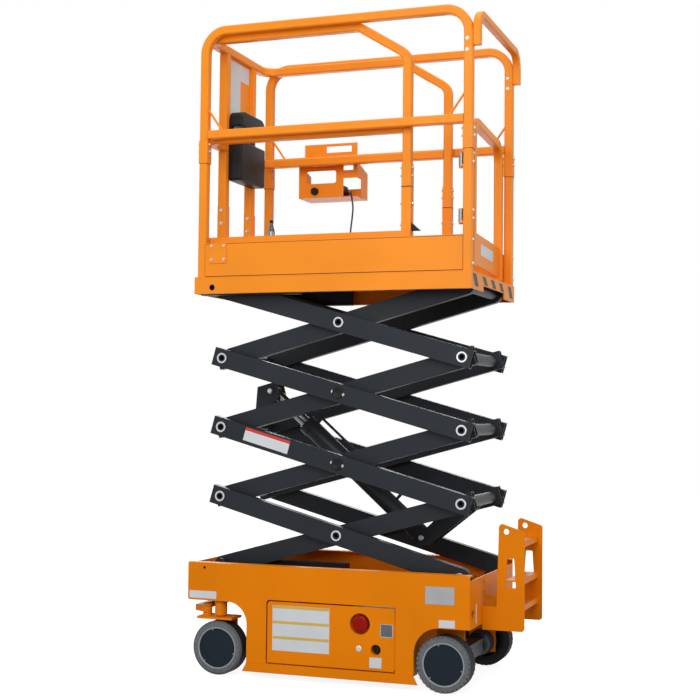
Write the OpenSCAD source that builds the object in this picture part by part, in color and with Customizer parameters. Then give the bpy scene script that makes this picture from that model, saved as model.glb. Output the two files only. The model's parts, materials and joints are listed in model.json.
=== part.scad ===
// Compact electric scissor lift with a roll-out platform, shown part raised.
// +X is forward, +Y the left side, +Z up; the origin is on the ground at mid length and mid width.

/* [Overall] */
// Length of the chassis box without the ladder
chassis_l = 1262; // [1250:2:1280]
// Reach of the ladder behind the chassis
ladder_out = 178; // [170:2:190]
// Width over the side guards
overall_w = 760; // [752:2:780]

/* [Chassis] */
// Height of the chassis top edge above the well plate
well_depth = 88; // [84:1:92]
// Thickness of the side plates
side_t = 6; // [5:0.5:7]
// Thickness of the inner plates
plate_t = 6; // [5:0.5:7]
// Height of the side plate's lower edge between the wheels
skirt_z = 66; // [64:1:68]
// Height of the side plate's lower edge above the knuckle plates of the steered wheels
nose_up = 80; // [78:1:84]
// Width of the folded top flange
top_flange = 45; // [35:1:48]
// Front wheel opening, its upright edge behind the front axle
front_arch_back = 140; // [136:1:144]
// Front wheel opening, corner radius
front_arch_r = 93; // [85:1:95]
// Rear wheel opening, its upright edge ahead of the rear axle
rear_arch_ahead = 125; // [122:1:128]
// Rear wheel opening, corner radius
rear_arch_r = 108; // [100:1:110]
// Rear wheel opening, clear height over the wheel
rear_arch_clear = 31; // [28:1:36]

/* [Doors] */
// Door opening, its front edge behind the front wheel opening
door_in_front = 91; // [85:1:100]
// Door opening, its rear edge ahead of the rear wheel opening
door_in_rear = 78; // [74:1:86]
// Door opening, its top edge below the chassis top
door_drop = 144; // [138:1:150]
// Gap round a door
door_gap = 5; // [4:0.5:6]
// Thickness of a door panel
door_t = 4; // [3:0.5:5]

/* [Wheels] */
// Diameter of the wheels
wheel_d = 230; // [226:1:234]
// Width of the wheels
wheel_w = 80; // [76:1:82]
// Front axle behind the chassis' front end
front_axle_in = 140; // [136:1:144]
// Rear axle ahead of the chassis' rear end
rear_axle_in = 111; // [106:1:116]
// Diameter of the solid disc in the wheel
disc_d = 168; // [160:1:172]
// Diameter of the axle stubs
axle_d = 40; // [36:1:44]

/* [Scissor arms] */
// An arm from end pin to end pin is shorter than the chassis by
arm_room = 130; // [126:1:136]
// Angle of the arms above level
arm_angle = 15.5; // [14:0.1:17]
// Angle of the arms with the platform down
stow_angle = 5; // [4:0.5:7]
// Angle of the arms with the platform raised
top_angle = 48; // [44:0.5:49]
// Height of the arm tube
arm_h = 80; // [74:1:82]
// Width of the arm tube
arm_w = 40; // [36:1:42]
// Length of the arm tube past its end pins
arm_end = 42; // [36:1:44]
// Outer face of the outer arms inside the overall width
arm_in = 80; // [78:1:86]
// Gap between outer and inner arms
arm_gap = 6; // [5:0.5:7]
// Diameter of the arm pins
pin_d = 36; // [32:1:38]
// Bore of the hollow arm pins
pin_bore = 20; // [16:1:24]
// Diameter of the tubes across an inner arm pair
cross_d = 50; // [44:1:54]
// Height of the lowest pins above the well plate
pivot_up = 68.5; // [67:0.5:72]
// Lowest rear pins ahead of the chassis' rear end
pivot_in = 61; // [56:1:64]

/* [Lift cylinder] */
// Outside diameter of the barrel
barrel_d = 80; // [72:1:84]
// Rod's eye ahead of the barrel with the platform down
rod_show = 50; // [48:1:60]
// Diameter of the rod
rod_d = 50; // [44:1:54]
// Room behind the rod's inner end with the platform down
rod_room = 4; // [3:0.5:6]
// Diameter of the cylinder's eyes
eye_d = 60; // [54:1:62]
// Width of the cylinder's eyes
eye_w = 60; // [54:1:62]

/* [Platform] */
// The main deck is shorter than the chassis by
deck_short = 11; // [8:1:16]
// Height of the deck's side channel
deck_h = 74; // [72:1:78]
// Gap between the top arms and the deck
arm_clear = 5; // [4.5:0.5:7]
// Height of the toe boards
toe_h = 148; // [140:1:155]
// Height of the guard rail above the deck
rail_h = 1107; // [1100:1:1120]
// Height of the mid rail above the deck
mid_h = 647; // [640:1:655]
// Size of the square rail tube
rail_s = 38; // [36:1:40]
// Bend radius of the rails
rail_bend = 100; // [80:1:120]

/* [Extension] */
// Drop of the extension's top rail below the main one
inner_drop = 24; // [20:1:30]
// Rear post of the extension ahead of the deck's rear end
inner_post_in = 299; // [290:1:305]
// Extension's side rails inside the main rails, middle to middle
rail_step = 47; // [46:1:52]
// Height of the extension's toe boards above the main deck
inner_toe_h = 178; // [170:1:184]

/* [Hidden] */

$fn = 64;
// Overrun of every cut
over = 1;
// Facets of the arcs in flat outlines
arc_steps = 12;
// Radial clearance of a pin in its hole
pin_fit = 0.08;
// Clearance of round faces that slide or roll
slide_fit = 0.3;
// Gap between pieces that are seated on each other
seat = 0.1;
// Paint and rubber colours
orange = [0.93, 0.50, 0.06];
orange_light = [0.95, 0.56, 0.16];
charcoal = [0.17, 0.18, 0.20];
black = [0.06, 0.06, 0.07];
steel = [0.72, 0.73, 0.75];
rubber = [0.40, 0.42, 0.43];
disc_blue = [0.13, 0.16, 0.20];
red = [0.60, 0.06, 0.03];

// Main places along and across
half_w = overall_w / 2;
overall_l = chassis_l + ladder_out;
front_x = overall_l / 2;
rear_x = front_x - chassis_l;
tail_x = -overall_l / 2;
guard_out = 4;
side_y = half_w - guard_out;
side_in_y = side_y - side_t;
rear_axle_x = rear_x + rear_axle_in;
front_axle_x = front_x - front_axle_in;
front_arch_x = front_axle_x - front_arch_back;
rear_arch_x = rear_axle_x + rear_arch_ahead;
door_x0 = rear_arch_x + door_in_rear;
door_x1 = front_arch_x - door_in_front;
wheel_r = wheel_d / 2;
wheel_in = 6;
wheel_out_y = half_w - wheel_in;
wheel_mid_y = wheel_out_y - wheel_w / 2;
wheel_in_y = wheel_out_y - wheel_w;

// Heights from the steered wheels up to the well plate and the chassis top
tyre_clear = 6;
plate_h = 10;
boss_gap = 6;
boss_h = 70;
beam_h = 58;
beam_gap = 4;
plate_low = wheel_d + tyre_clear;
boss_low = plate_low + plate_h + boss_gap;
beam_low = boss_low + boss_h;
well_z = beam_low + beam_h + beam_gap + plate_t;
chassis_top = well_z + well_depth;
nose_z = plate_low + nose_up;
rear_arch_z = wheel_d + rear_arch_clear;
door_top = chassis_top - door_drop;

// Scissor places
arm_l = chassis_l - arm_room;
pivot_x = rear_x + pivot_in;
pivot_z = well_z + pivot_up;
stage_h = arm_l * sin(arm_angle);
span = arm_l * cos(arm_angle);
stages = 4;
arm_out_y = half_w - arm_in;
arm_in_y = arm_out_y - arm_w - arm_gap;
arm_core_y = arm_in_y - arm_w;
top_z = pivot_z + stages * stage_h;
pin_proud = 3;
pin_short = 1;

// Platform places
deck_t = 4;
deck_wall = 6;
deck_l = chassis_l - deck_short;
deck_z = top_z + arm_h / 2 + arm_clear + deck_t;
deck_low = deck_z - deck_h;
deck_front = rear_x + deck_l;
deck_y = half_w;
toe_t = 4;
toe_in = 4;
rail_c = rail_s / 2;
main_y = deck_y - toe_in - rail_c;
inner_y = main_y - rail_step;
post_in_front = 30;
post_in_rear = 22;
post_front = deck_front - post_in_front;
post_rear = rear_x + post_in_rear;
inner_post_x = rear_x + inner_post_in;
rail_top = deck_z + rail_h - rail_c;
mid_z = deck_z + mid_h - rail_c;

// Outer face of the control holder from the middle plane, and the shift that centres the whole width
holder_y = main_y + rail_c;
holder_deep = 154;
holder_out = holder_y + holder_deep;
frame_y = (holder_out - half_w) / 2;
module placed() {
    translate([0, frame_y, 0]) children();
}

// An axis-aligned block between two corners
module block(lo, hi) {
    translate(lo) cube(hi - lo);
}

// Both sides: the left one and its mirror image
module both_sides() {
    children();
    mirror([0, 1, 0]) children();
}

// A round bar along Y between two planes
module bar_y(d, y0, y1) {
    translate([0, y0, 0]) rotate([-90, 0, 0]) cylinder(d = d, h = y1 - y0);
}

// A flat plate: an outline in X and Z given a thickness from y0 to y1
module plate_xz(y0, y1) {
    translate([0, y1, 0]) rotate([90, 0, 0]) linear_extrude(y1 - y0) children();
}

// Points of an arc about c, from angle a0 to a1
function arc(c, r, a0, a1) =
    [for (i = [0 : arc_steps]) let (a = a0 + (a1 - a0) * i / arc_steps) c + r * [cos(a), sin(a)]];

// Section of a square tube with eased corners
tube_ease_share = 0.12;
module tube_section(s) {
    h = s / 2;
    e = s * tube_ease_share;
    polygon([
        [h, h - e], [h - e, h], [e - h, h], [-h, h - e],
        [-h, e - h], [e - h, -h], [h - e, -h], [h, e - h]
    ]);
}

// Direction, turn and bend set-back along a flat run of tube
function dir(p, i) = (p[i + 1] - p[i]) / norm(p[i + 1] - p[i]);
function cross2(a, b) = a[0] * b[1] - a[1] * b[0];
function turn(p, i) = atan2(cross2(dir(p, i - 1), dir(p, i)), dir(p, i - 1) * dir(p, i));
function setback(p, r, i) = i == 0 || i == len(p) - 1 ? 0 : r[i] * tan(abs(turn(p, i)) / 2);

// A square tube through the points p of a flat run, bent to the radius r[i] at each corner
module tube_run(p, r, s) {
    last = len(p) - 1;
    for (i = [0 : last - 1]) {
        d = dir(p, i);
        start = p[i] + d * setback(p, r, i);
        long = norm(p[i + 1] - p[i]) - setback(p, r, i) - setback(p, r, i + 1);
        translate(start) rotate(atan2(d[1], d[0])) rotate([90, 0, 90]) linear_extrude(long) tube_section(s);
    }
    for (i = [1 : 1 : last - 1]) {
        d = dir(p, i - 1);
        left = sign(turn(p, i));
        normal = left * [-d[1], d[0]];
        centre = p[i] - d * setback(p, r, i) + r[i] * normal;
        from = atan2(-normal[1], -normal[0]) + (left < 0 ? turn(p, i) : 0);
        translate(centre) rotate(from)
            rotate_extrude(angle = abs(turn(p, i))) translate([r[i], 0]) tube_section(s);
    }
}

// The same run stood upright in X and Z, its middle at y
module rail_xz(p, r, y, s = rail_s) {
    translate([0, y, 0]) rotate([90, 0, 0]) tube_run(p, r, s);
}

// The same run stood upright in Y and Z, its middle at x
module rail_yz(p, r, x, s = rail_s) {
    translate([x, 0, 0]) rotate([90, 0, 90]) tube_run(p, r, s);
}

// CHASSIS

// Outline of a side plate with its two wheel openings
nose_front_r = 12;
module side_outline() {
    fa = [front_arch_x + front_arch_r, nose_z - front_arch_r];
    ra = [rear_arch_x - rear_arch_r, rear_arch_z - rear_arch_r];
    polygon(concat(
        [[rear_x, chassis_top], [rear_x, rear_arch_z]],
        arc(ra, rear_arch_r, 90, 0),
        [[rear_arch_x, skirt_z], [front_arch_x, skirt_z]],
        arc(fa, front_arch_r, 180, 90),
        arc([front_x - nose_front_r, nose_z + nose_front_r], nose_front_r, -90, 0),
        [[front_x, chassis_top]]
    ));
}

// Door opening and door share this outline, drawn in by a gap
door_r = 14;
module door_outline(gap) {
    x0 = door_x0 + gap;
    x1 = door_x1 - gap;
    z1 = door_top - gap;
    z0 = skirt_z + gap;
    polygon(concat([[x0, z0], [x1, z0]], arc([x1 - door_r, z1 - door_r], door_r, 0, 90), [[x0, z1]]));
}

// Small hole near the front top corner of the side plate
hole_in = 77;
hole_down = 22;
hole_d = 12;
hole_x = front_x - hole_in;
hole_z = chassis_top - hole_down;

module chassis_side() {
    difference() {
        plate_xz(side_in_y, side_y) side_outline();
        plate_xz(side_in_y - over, side_y + over) door_outline(0);
        block([door_x0, side_in_y - over, skirt_z - over], [door_x1, side_y + over, skirt_z + over]);
        translate([hole_x, 0, hole_z]) bar_y(hole_d, side_in_y - over, side_y + over);
    }
    block([rear_x, side_y - top_flange, chassis_top - side_t], [front_x, side_in_y, chassis_top]);
}

module chassis_side_left() placed() color(orange) chassis_side();
module chassis_side_right() placed() color(orange) mirror([0, 1, 0]) chassis_side();

// Inner plates: floor, two bulkheads, the plate over the well, front and rear plates and axle carriers
well_half = 120;
well_back = 220;
well_ahead = 268;
carrier_in = 32;
carrier_y = wheel_in_y - carrier_in;
carrier_x = 60;
carrier_low = 70;
floor_in = 6;
nose_block_in = 9;
nose_block_h = 66;
rear_plate_drop = 22;
nose_block_y = arm_core_y - nose_block_in;
rear_hole_d = 34;
rear_hole_in = 40;
rear_hole_up = 59;
rear_hole_y = side_in_y - rear_hole_in;
rear_hole_z = rear_arch_z + rear_hole_up;
module chassis_frame() placed() {
    color(orange) difference() {
        union() {
            block([rear_arch_x, floor_in - side_in_y, skirt_z],
                [front_arch_x, side_in_y - floor_in, skirt_z + plate_t]);
            block([track_x1, -nose_block_y, well_z],
                [front_x - plate_t, nose_block_y, well_z + nose_block_h]);
            for (x = [rear_arch_x, front_arch_x - plate_t])
                block([x, -side_in_y, skirt_z], [x + plate_t, side_in_y, well_z]);
            block([rear_x, -side_in_y, well_z - plate_t], [front_x, side_in_y, well_z]);
            block([rear_x, -side_in_y, rear_arch_z],
                [rear_x + plate_t, side_in_y, chassis_top - rear_plate_drop]);
            block([front_x - plate_t, -side_in_y, nose_z], [front_x, side_in_y, chassis_top - side_t]);
            both_sides() block(
                [rear_axle_x - carrier_x, carrier_y - plate_t, carrier_low],
                [rear_axle_x + carrier_x, carrier_y, well_z]);
        }
        block([barrel_stow[0] - well_back, -well_half, well_z - plate_t - over],
            [barrel_stow[0] + well_ahead, well_half, well_z + over]);
        both_sides() translate([rear_axle_x, 0, wheel_r])
            bar_y(axle_d + slide_fit * 2, carrier_y - plate_t - over, carrier_y + over);
        both_sides() translate([rear_x - over, rear_hole_y, rear_hole_z])
            rotate([0, 90, 0]) cylinder(d = rear_hole_d, h = plate_t + over + over);
    }
}

// Front cross beam with the two kingpin bosses
beam_x = 36;
boss_d = 53;
kingpin_d = 30;
kingpin_in = 23;
kingpin_top = beam_low + kingpin_in;
module front_beam() placed() {
    color(orange) difference() {
        union() {
            block([front_axle_x - beam_x, -side_in_y, beam_low],
                [front_axle_x + beam_x, side_in_y, beam_low + beam_h]);
            both_sides() translate([front_axle_x, wheel_mid_y, boss_low]) cylinder(d = boss_d, h = boss_h);
        }
        both_sides() translate([front_axle_x, wheel_mid_y, boss_low - over])
            cylinder(r = kingpin_d / 2 + pin_fit, h = kingpin_top - boss_low + over + over);
    }
}

// Rear pivot lugs with their pins, and the front roller tracks, on the well plate
lug_t = 10;
lug_r = 34;
lug_gap = 5;
roller_d = 60;
roller_w = 30;
roller_gap = 5;
track_spare = 15;
track_x0 = pivot_x + arm_l * cos(top_angle) - roller_d;
track_x1 = pivot_x + arm_l * cos(stow_angle) + roller_d / 2 + track_spare;
stop_l = 14;
stop_h = 80;
track_top = pivot_z - roller_d / 2 - slide_fit;
module lug(y0, y1, low) {
    plate_xz(y0, y1) {
        translate([pivot_x, pivot_z]) circle(r = lug_r);
        translate([pivot_x - lug_r, low]) square([lug_r + lug_r, pivot_z - low]);
    }
}
module arm_base() placed() {
    color(charcoal) both_sides() difference() {
        union() {
            lug(arm_out_y + lug_gap, arm_out_y + lug_gap + lug_t, well_z);
            lug(arm_out_y - arm_w - lug_gap - lug_t, arm_out_y - arm_w - lug_gap, well_z);
            translate([pivot_x, 0, pivot_z])
                bar_y(pin_d, arm_out_y - arm_w - lug_gap - lug_t, arm_out_y + lug_gap + lug_t + pin_proud);
        }
        translate([pivot_x, 0, pivot_z])
            bar_y(pin_bore, arm_out_y, arm_out_y + lug_gap + lug_t + pin_proud + over);
    }
    color(orange) both_sides() {
        block([track_x0, arm_in_y + roller_gap, well_z],
            [track_x1, arm_in_y + roller_gap + roller_w + roller_gap, track_top]);
        block([track_x1, arm_in_y + roller_gap, well_z],
            [track_x1 + stop_l, arm_in_y + roller_gap + roller_w + roller_gap, well_z + stop_h]);
    }
}

// Rear axle tube between its carriers, with hub stubs and brake drums
drum_d = 120;
drum_gap = 5;
stub_end = 14;
axle_tube = 64;
module rear_axle() placed() {
    color(charcoal) {
        block([rear_axle_x - axle_tube / 2, plate_t - carrier_y, wheel_r - axle_tube / 2],
            [rear_axle_x + axle_tube / 2, carrier_y - plate_t, wheel_r + axle_tube / 2]);
        both_sides() translate([rear_axle_x, 0, wheel_r]) {
            bar_y(axle_d, carrier_y - plate_t, wheel_out_y - stub_end);
            bar_y(drum_d, carrier_y, wheel_in_y - drum_gap);
        }
    }
}

// Battery pack and hydraulic power unit on the floor plate
bay_in_rear = 28;
bay_in_front = 49;
bay_in_side = 50;
bay_w = 170;
bay_x0 = door_x0 + bay_in_rear;
bay_x1 = door_x1 - bay_in_front;
bay_y1 = side_in_y - bay_in_side;
bay_y0 = bay_y1 - bay_w;
battery_h = 230;
unit_h = 200;
module battery_pack() placed() color(black)
    block([bay_x0, bay_y0, skirt_z + plate_t], [bay_x1, bay_y1, skirt_z + plate_t + battery_h]);
module power_unit() placed() color(charcoal)
    block([bay_x0, -bay_y1, skirt_z + plate_t], [bay_x1, -bay_y0, skirt_z + plate_t + unit_h]);

// Ladder: two upright plates with holes and slots, and three folded rungs between them
ladder_y = 179;
ladder_t = 6;
ladder_top = 676;
ladder_back = 650;
ladder_low = 237;
ladder_foot = 334;
ladder_neck = 108;
ladder_waist = 117;
ladder_r = 14;
ladder_eye_in = 77;
ladder_eye_z = 645;
ladder_hole = 24;
slot_top = 536;
slot_low = 414;
slot_in = 58;
slot_top_w = 30;
slot_low_w = 44;
slot_r = 6;
rung_zs = [335, 445, 600];
rung_w = 62;
rung_t = 6;
rung_lip = 24;
rung_in = 20;
module ladder_sides() placed() {
    slot_x = tail_x + slot_in;
    color(orange) both_sides() plate_xz(ladder_y - ladder_t, ladder_y) difference() {
        polygon(concat(
            [[rear_x - seat, ladder_foot], [rear_x - seat, ladder_low]],
            arc([tail_x + ladder_r, ladder_low + ladder_r], ladder_r, -90, -180),
            arc([tail_x + ladder_r, ladder_back - ladder_r], ladder_r, 180, 110),
            arc([tail_x + ladder_neck - ladder_r, ladder_top - ladder_r], ladder_r, 100, 0),
            [[tail_x + ladder_waist, ladder_foot]]
        ));
        translate([tail_x + ladder_eye_in, ladder_eye_z]) circle(d = ladder_hole);
        polygon(concat(
            arc([slot_x - slot_low_w / 2 + slot_r, slot_low + slot_r], slot_r, 180, 270),
            arc([slot_x + slot_low_w / 2 - slot_r, slot_low + slot_r], slot_r, 270, 360),
            arc([slot_x + slot_top_w / 2 - slot_r, slot_top - slot_r], slot_r, 0, 90),
            arc([slot_x - slot_top_w / 2 + slot_r, slot_top - slot_r], slot_r, 90, 180)
        ));
    }
}
module ladder_rungs() placed() {
    rung_x = tail_x + rung_in;
    rung_y = ladder_y - ladder_t - seat;
    color(orange) for (z = rung_zs) {
        block([rung_x, -rung_y, z - rung_t], [rung_x + rung_w, rung_y, z]);
        block([rung_x, -rung_y, z - rung_lip], [rung_x + rung_t, rung_y, z - rung_t]);
    }
}

// Angle guards under the side plates
guard_flare = 18;
guard_drop = 39;
guard_leg = 60;
guard_t = 6;
module side_guards() placed() {
    low_z = skirt_z - guard_drop;
    color(orange) both_sides() {
        block([rear_arch_x, half_w - guard_leg, skirt_z - guard_t], [front_arch_x, half_w, skirt_z - seat]);
        plate_xz(half_w - guard_t, half_w) polygon([
            [rear_arch_x, skirt_z - guard_t], [rear_arch_x - guard_flare, low_z],
            [front_arch_x + guard_flare, low_z], [front_arch_x, skirt_z - guard_t]
        ]);
    }
}

// DOORS

// Places of the controls on the left door, and their sizes
stop_in = 155;
stop_x = door_x0 + stop_in;
stop_z = 258;
stop_d = 88;
stop_head_d = 66;
stop_head_h = 22;
cup_depth = 34;
cup_wall = 4;
display_in = 39;
display_x = door_x0 + display_in;
display_z = 237;
display_s = 56;
key_in = 159;
key_x = door_x0 + key_in;
key_z = 157;
key_d = 24;
socket_in = 85;
socket_x = door_x0 + socket_in;
socket_z = 156;
socket_d = 44;
hinge_lip = 40;
door_pin_d = 4;
door_pin_web = 2;
door_pin_end = 20;
door_pin_x = door_x0 + door_gap / 2;
module door_panel() {
    z0 = skirt_z + plate_t + door_gap;
    z1 = door_top - door_gap - door_r;
    plate_xz(side_y - door_t, side_y) door_outline(door_gap);
    block([door_x0 + door_gap, side_y - hinge_lip, z0], [door_x0 + door_gap + door_t, side_y - door_t, z1]);
    translate([door_pin_x, side_y - door_t / 2, z0]) cylinder(d = door_pin_d, h = z1 - z0);
    block([door_pin_x, side_y - door_t / 2 - door_pin_web / 2, z0 + door_pin_end],
        [door_x0 + door_gap + door_t, side_y - door_t / 2 + door_pin_web / 2, z1 - door_pin_end]);
}
module control_cup(x, z, d, depth) {
    translate([x, 0, z]) difference() {
        bar_y(d + cup_wall + cup_wall, side_y - door_t - depth, side_y - door_t);
        bar_y(d, side_y - door_t - depth + cup_wall, side_y + over);
    }
}
module door_left() placed() {
    color(orange) {
        difference() {
            door_panel();
            translate([stop_x, 0, stop_z]) bar_y(stop_d, side_y - door_t - over, side_y + over);
            translate([socket_x, 0, socket_z]) bar_y(socket_d, side_y - door_t - over, side_y + over);
            block([display_x - display_s / 2, side_y - door_t - over, display_z - display_s / 2],
                [display_x + display_s / 2, side_y + over, display_z + display_s / 2]);
            translate([key_x, 0, key_z]) bar_y(key_d, side_y - door_t - over, side_y + over);
        }
        control_cup(stop_x, stop_z, stop_d, cup_depth);
        control_cup(socket_x, socket_z, socket_d, cup_depth);
    }
}
module door_right() placed() color(orange) mirror([0, 1, 0]) door_panel();

// Stop button of the left door
stop_stem_d = 30;
cup_floor_y = side_y - door_t - cup_depth + cup_wall;
module stop_button() placed() {
    color(red) translate([stop_x, 0, stop_z]) {
        bar_y(stop_stem_d, cup_floor_y, side_y - stop_head_h);
        bar_y(stop_head_d, side_y - stop_head_h, side_y - door_t);
    }
}

// Display, key switch and charging socket of the left door
display_t = 14;
key_cap = 14;
socket_core = 28;
module door_controls() placed() {
    color(black) {
        half = display_s / 2 - slide_fit;
        block([display_x - half, side_y - door_t - display_t, display_z - half],
            [display_x + half, side_y - door_t / 2, display_z + half]);
        translate([key_x, 0, key_z]) bar_y(key_d - slide_fit * 2, side_y - door_t - key_cap, side_y);
        translate([socket_x, 0, socket_z]) bar_y(socket_core, cup_floor_y, side_y - door_t - key_cap);
    }
}

// STEERING

// Knuckle: top plate, kingpin, link pin, inner bracket, drive motor and axle stub
plate_front = 97;
plate_back = 67;
plate_out = 38;
bracket_gap = 12;
bracket_y = wheel_in_y - bracket_gap;
bracket_t = 14;
bracket_x = 50;
bracket_low = 60;
motor_d = 100;
motor_l = 56;
link_x = 64;
link_d = 20;
link_boss_d = 40;
link_up = 24;
link_low = plate_low + link_up;
link_eye_h = 26;
link_cap_h = 10;
link_gap = 1;
module knuckle() {
    color(orange) translate([front_axle_x, 0, 0]) {
        block([-plate_back, bracket_y - bracket_t, plate_low],
            [plate_front, wheel_mid_y + plate_out, plate_low + plate_h]);
        translate([0, wheel_mid_y, plate_low]) cylinder(d = kingpin_d, h = kingpin_top - plate_low);
        translate([link_x, wheel_mid_y, plate_low]) {
            cylinder(d = link_boss_d, h = link_low - plate_low);
            cylinder(d = link_d, h = link_low - plate_low + link_eye_h + link_gap + link_gap);
            translate([0, 0, link_low - plate_low + link_eye_h + link_gap + link_gap])
                cylinder(d = link_boss_d, h = link_cap_h);
        }
        block([-bracket_x, bracket_y - bracket_t, bracket_low], [bracket_x, bracket_y, plate_low]);
        translate([0, 0, wheel_r]) {
            bar_y(motor_d, bracket_y - bracket_t - motor_l, bracket_y - bracket_t);
            bar_y(axle_d, bracket_y, wheel_out_y - stub_end);
        }
    }
}
module knuckle_left() placed() knuckle();
module knuckle_right() placed() mirror([0, 1, 0]) knuckle();

// Tie rod: two eyes joined by a bar that runs ahead of the kingpins
rod_bar_w = 26;
rod_ahead = 56;
rod_in = 34;
module tie_rod() placed() {
    low = link_low + link_gap;
    x = front_axle_x + link_x;
    color(orange) difference() {
        union() {
            translate([0, 0, low]) linear_extrude(link_eye_h) {
                both_sides() translate([x, wheel_mid_y]) circle(d = link_boss_d);
                both_sides() polygon([
                    [x, wheel_mid_y + rod_bar_w / 2], [x, wheel_mid_y - rod_bar_w / 2],
                    [x + rod_ahead - rod_bar_w / 2, wheel_mid_y - rod_in - rod_bar_w / 2],
                    [x + rod_ahead + rod_bar_w / 2, wheel_mid_y - rod_in - rod_bar_w / 2],
                    [x + rod_ahead + rod_bar_w / 2, wheel_mid_y - rod_in + rod_bar_w / 2]
                ]);
                translate([x + rod_ahead - rod_bar_w / 2, rod_in - wheel_mid_y])
                    square([rod_bar_w, 2 * (wheel_mid_y - rod_in)]);
            }
        }
        both_sides() translate([x, wheel_mid_y, low - over])
            cylinder(r = link_d / 2 + pin_fit, h = link_eye_h + over + over);
    }
}

// WHEELS

// Tyre: a turned ring with eased shoulders and a raised bead
shoulder = 9;
bead_w = 7;
bead_h = 2;
module tyre(x, y) {
    r0 = disc_d / 2;
    h = wheel_w / 2;
    color(rubber) translate([x, y, wheel_r]) rotate([90, 0, 0]) rotate_extrude() polygon([
        [r0, -h + bead_h], [r0 + bead_w, -h], [wheel_r - shoulder, -h + bead_h], [wheel_r, -h + shoulder],
        [wheel_r, h - shoulder], [wheel_r - shoulder, h - bead_h], [r0 + bead_w, h], [r0, h - bead_h]
    ]);
}
module tyre_front_left() placed() tyre(front_axle_x, wheel_mid_y);
module tyre_front_right() placed() tyre(front_axle_x, -wheel_mid_y);
module tyre_rear_left() placed() tyre(rear_axle_x, wheel_mid_y);
module tyre_rear_right() placed() tyre(rear_axle_x, -wheel_mid_y);

// Hub: rim, outer disc and the sleeve that runs on the axle stub
rim_t = 9;
disc_t = 8;
disc_sunk = 4;
sleeve_d = 66;
sleeve_in = 2;
module hub(x) {
    r = disc_d / 2;
    color(disc_blue) translate([x, 0, wheel_r]) difference() {
        bar_y(r * 2, wheel_in_y + disc_sunk, wheel_out_y - disc_sunk);
        bar_y((r - rim_t) * 2, wheel_in_y - over, wheel_out_y - disc_sunk - disc_t);
    }
    color(disc_blue) translate([x, 0, wheel_r]) difference() {
        bar_y(sleeve_d, wheel_in_y + sleeve_in, wheel_out_y - disc_sunk - disc_t);
        bar_y(axle_d + pin_fit * 2, wheel_in_y - over, wheel_out_y - disc_sunk - disc_t);
    }
}
module hub_front_left() placed() hub(front_axle_x);
module hub_front_right() placed() mirror([0, 1, 0]) hub(front_axle_x);
module hub_rear_left() placed() hub(rear_axle_x);
module hub_rear_right() placed() mirror([0, 1, 0]) hub(rear_axle_x);

// SCISSOR ARMS

// Local frame of an outer arm: X from its lower rear pin to its upper front pin
module at_outer(i) {
    translate([pivot_x, 0, pivot_z + (i - 1) * stage_h]) rotate([0, -arm_angle, 0]) children();
}

// Local frame of an inner arm: X from its lower front pin to its upper rear pin
module at_inner(i) {
    translate([pivot_x + span, 0, pivot_z + (i - 1) * stage_h])
        mirror([1, 0, 0]) rotate([0, -arm_angle, 0]) children();
}

// One arm tube on the left side, with open ends; the ends in the chassis and under the deck are rounded
tube_wall = 6;
tube_open = 20;
module arm_tube(y_out, i) {
    low_end = i == 1 ? 0 : arm_end;
    high_end = i == stages ? 0 : arm_end;
    rounded = concat(i == 1 ? [0] : [], i == stages ? [arm_l] : []);
    open_ends = concat(i == 1 ? [] : [-arm_end - over], i == stages ? [] : [arm_l + arm_end - tube_open]);
    difference() {
        union() {
            block([-low_end, y_out - arm_w, -arm_h / 2], [arm_l + high_end, y_out, arm_h / 2]);
            for (x = rounded) translate([x, 0, 0]) bar_y(arm_h, y_out - arm_w, y_out);
        }
        for (x = open_ends)
            block([x, y_out - arm_w + tube_wall, tube_wall - arm_h / 2],
                [x + tube_open + over, y_out - tube_wall, arm_h / 2 - tube_wall]);
    }
}

// Hollow pin that an outer arm carries through the inner arm beside it
module arm_pin(x) {
    translate([x, 0, 0]) bar_y(pin_d, arm_core_y + pin_short, arm_out_y + pin_proud);
}

deck_roller_d = 46;
module outer_arm(i) {
    lower = i == 1 ? [] : [0];
    upper = i == stages ? [] : [arm_l];
    pins = concat(lower, [arm_l / 2], upper);
    color(charcoal) at_outer(i) both_sides() difference() {
        union() {
            arm_tube(arm_out_y, i);
            for (x = pins) arm_pin(x);
            if (i == stages) translate([arm_l, 0, 0]) {
                bar_y(pin_d, arm_out_y, arm_out_y + roller_gap + roller_w);
                bar_y(deck_roller_d, arm_out_y + roller_gap, arm_out_y + roller_gap + roller_w);
            }
        }
        for (x = pins) translate([x, 0, 0])
            bar_y(pin_bore, arm_out_y - arm_w, arm_out_y + pin_proud + over);
        if (i == 1) bar_y(pin_d + pin_fit * 2, arm_out_y - arm_w - over, arm_out_y + over);
    }
}
module outer_arm_1() placed() outer_arm(1);
module outer_arm_2() placed() outer_arm(2);
module outer_arm_3() placed() outer_arm(3);
module outer_arm_4() placed() outer_arm(4);

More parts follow.
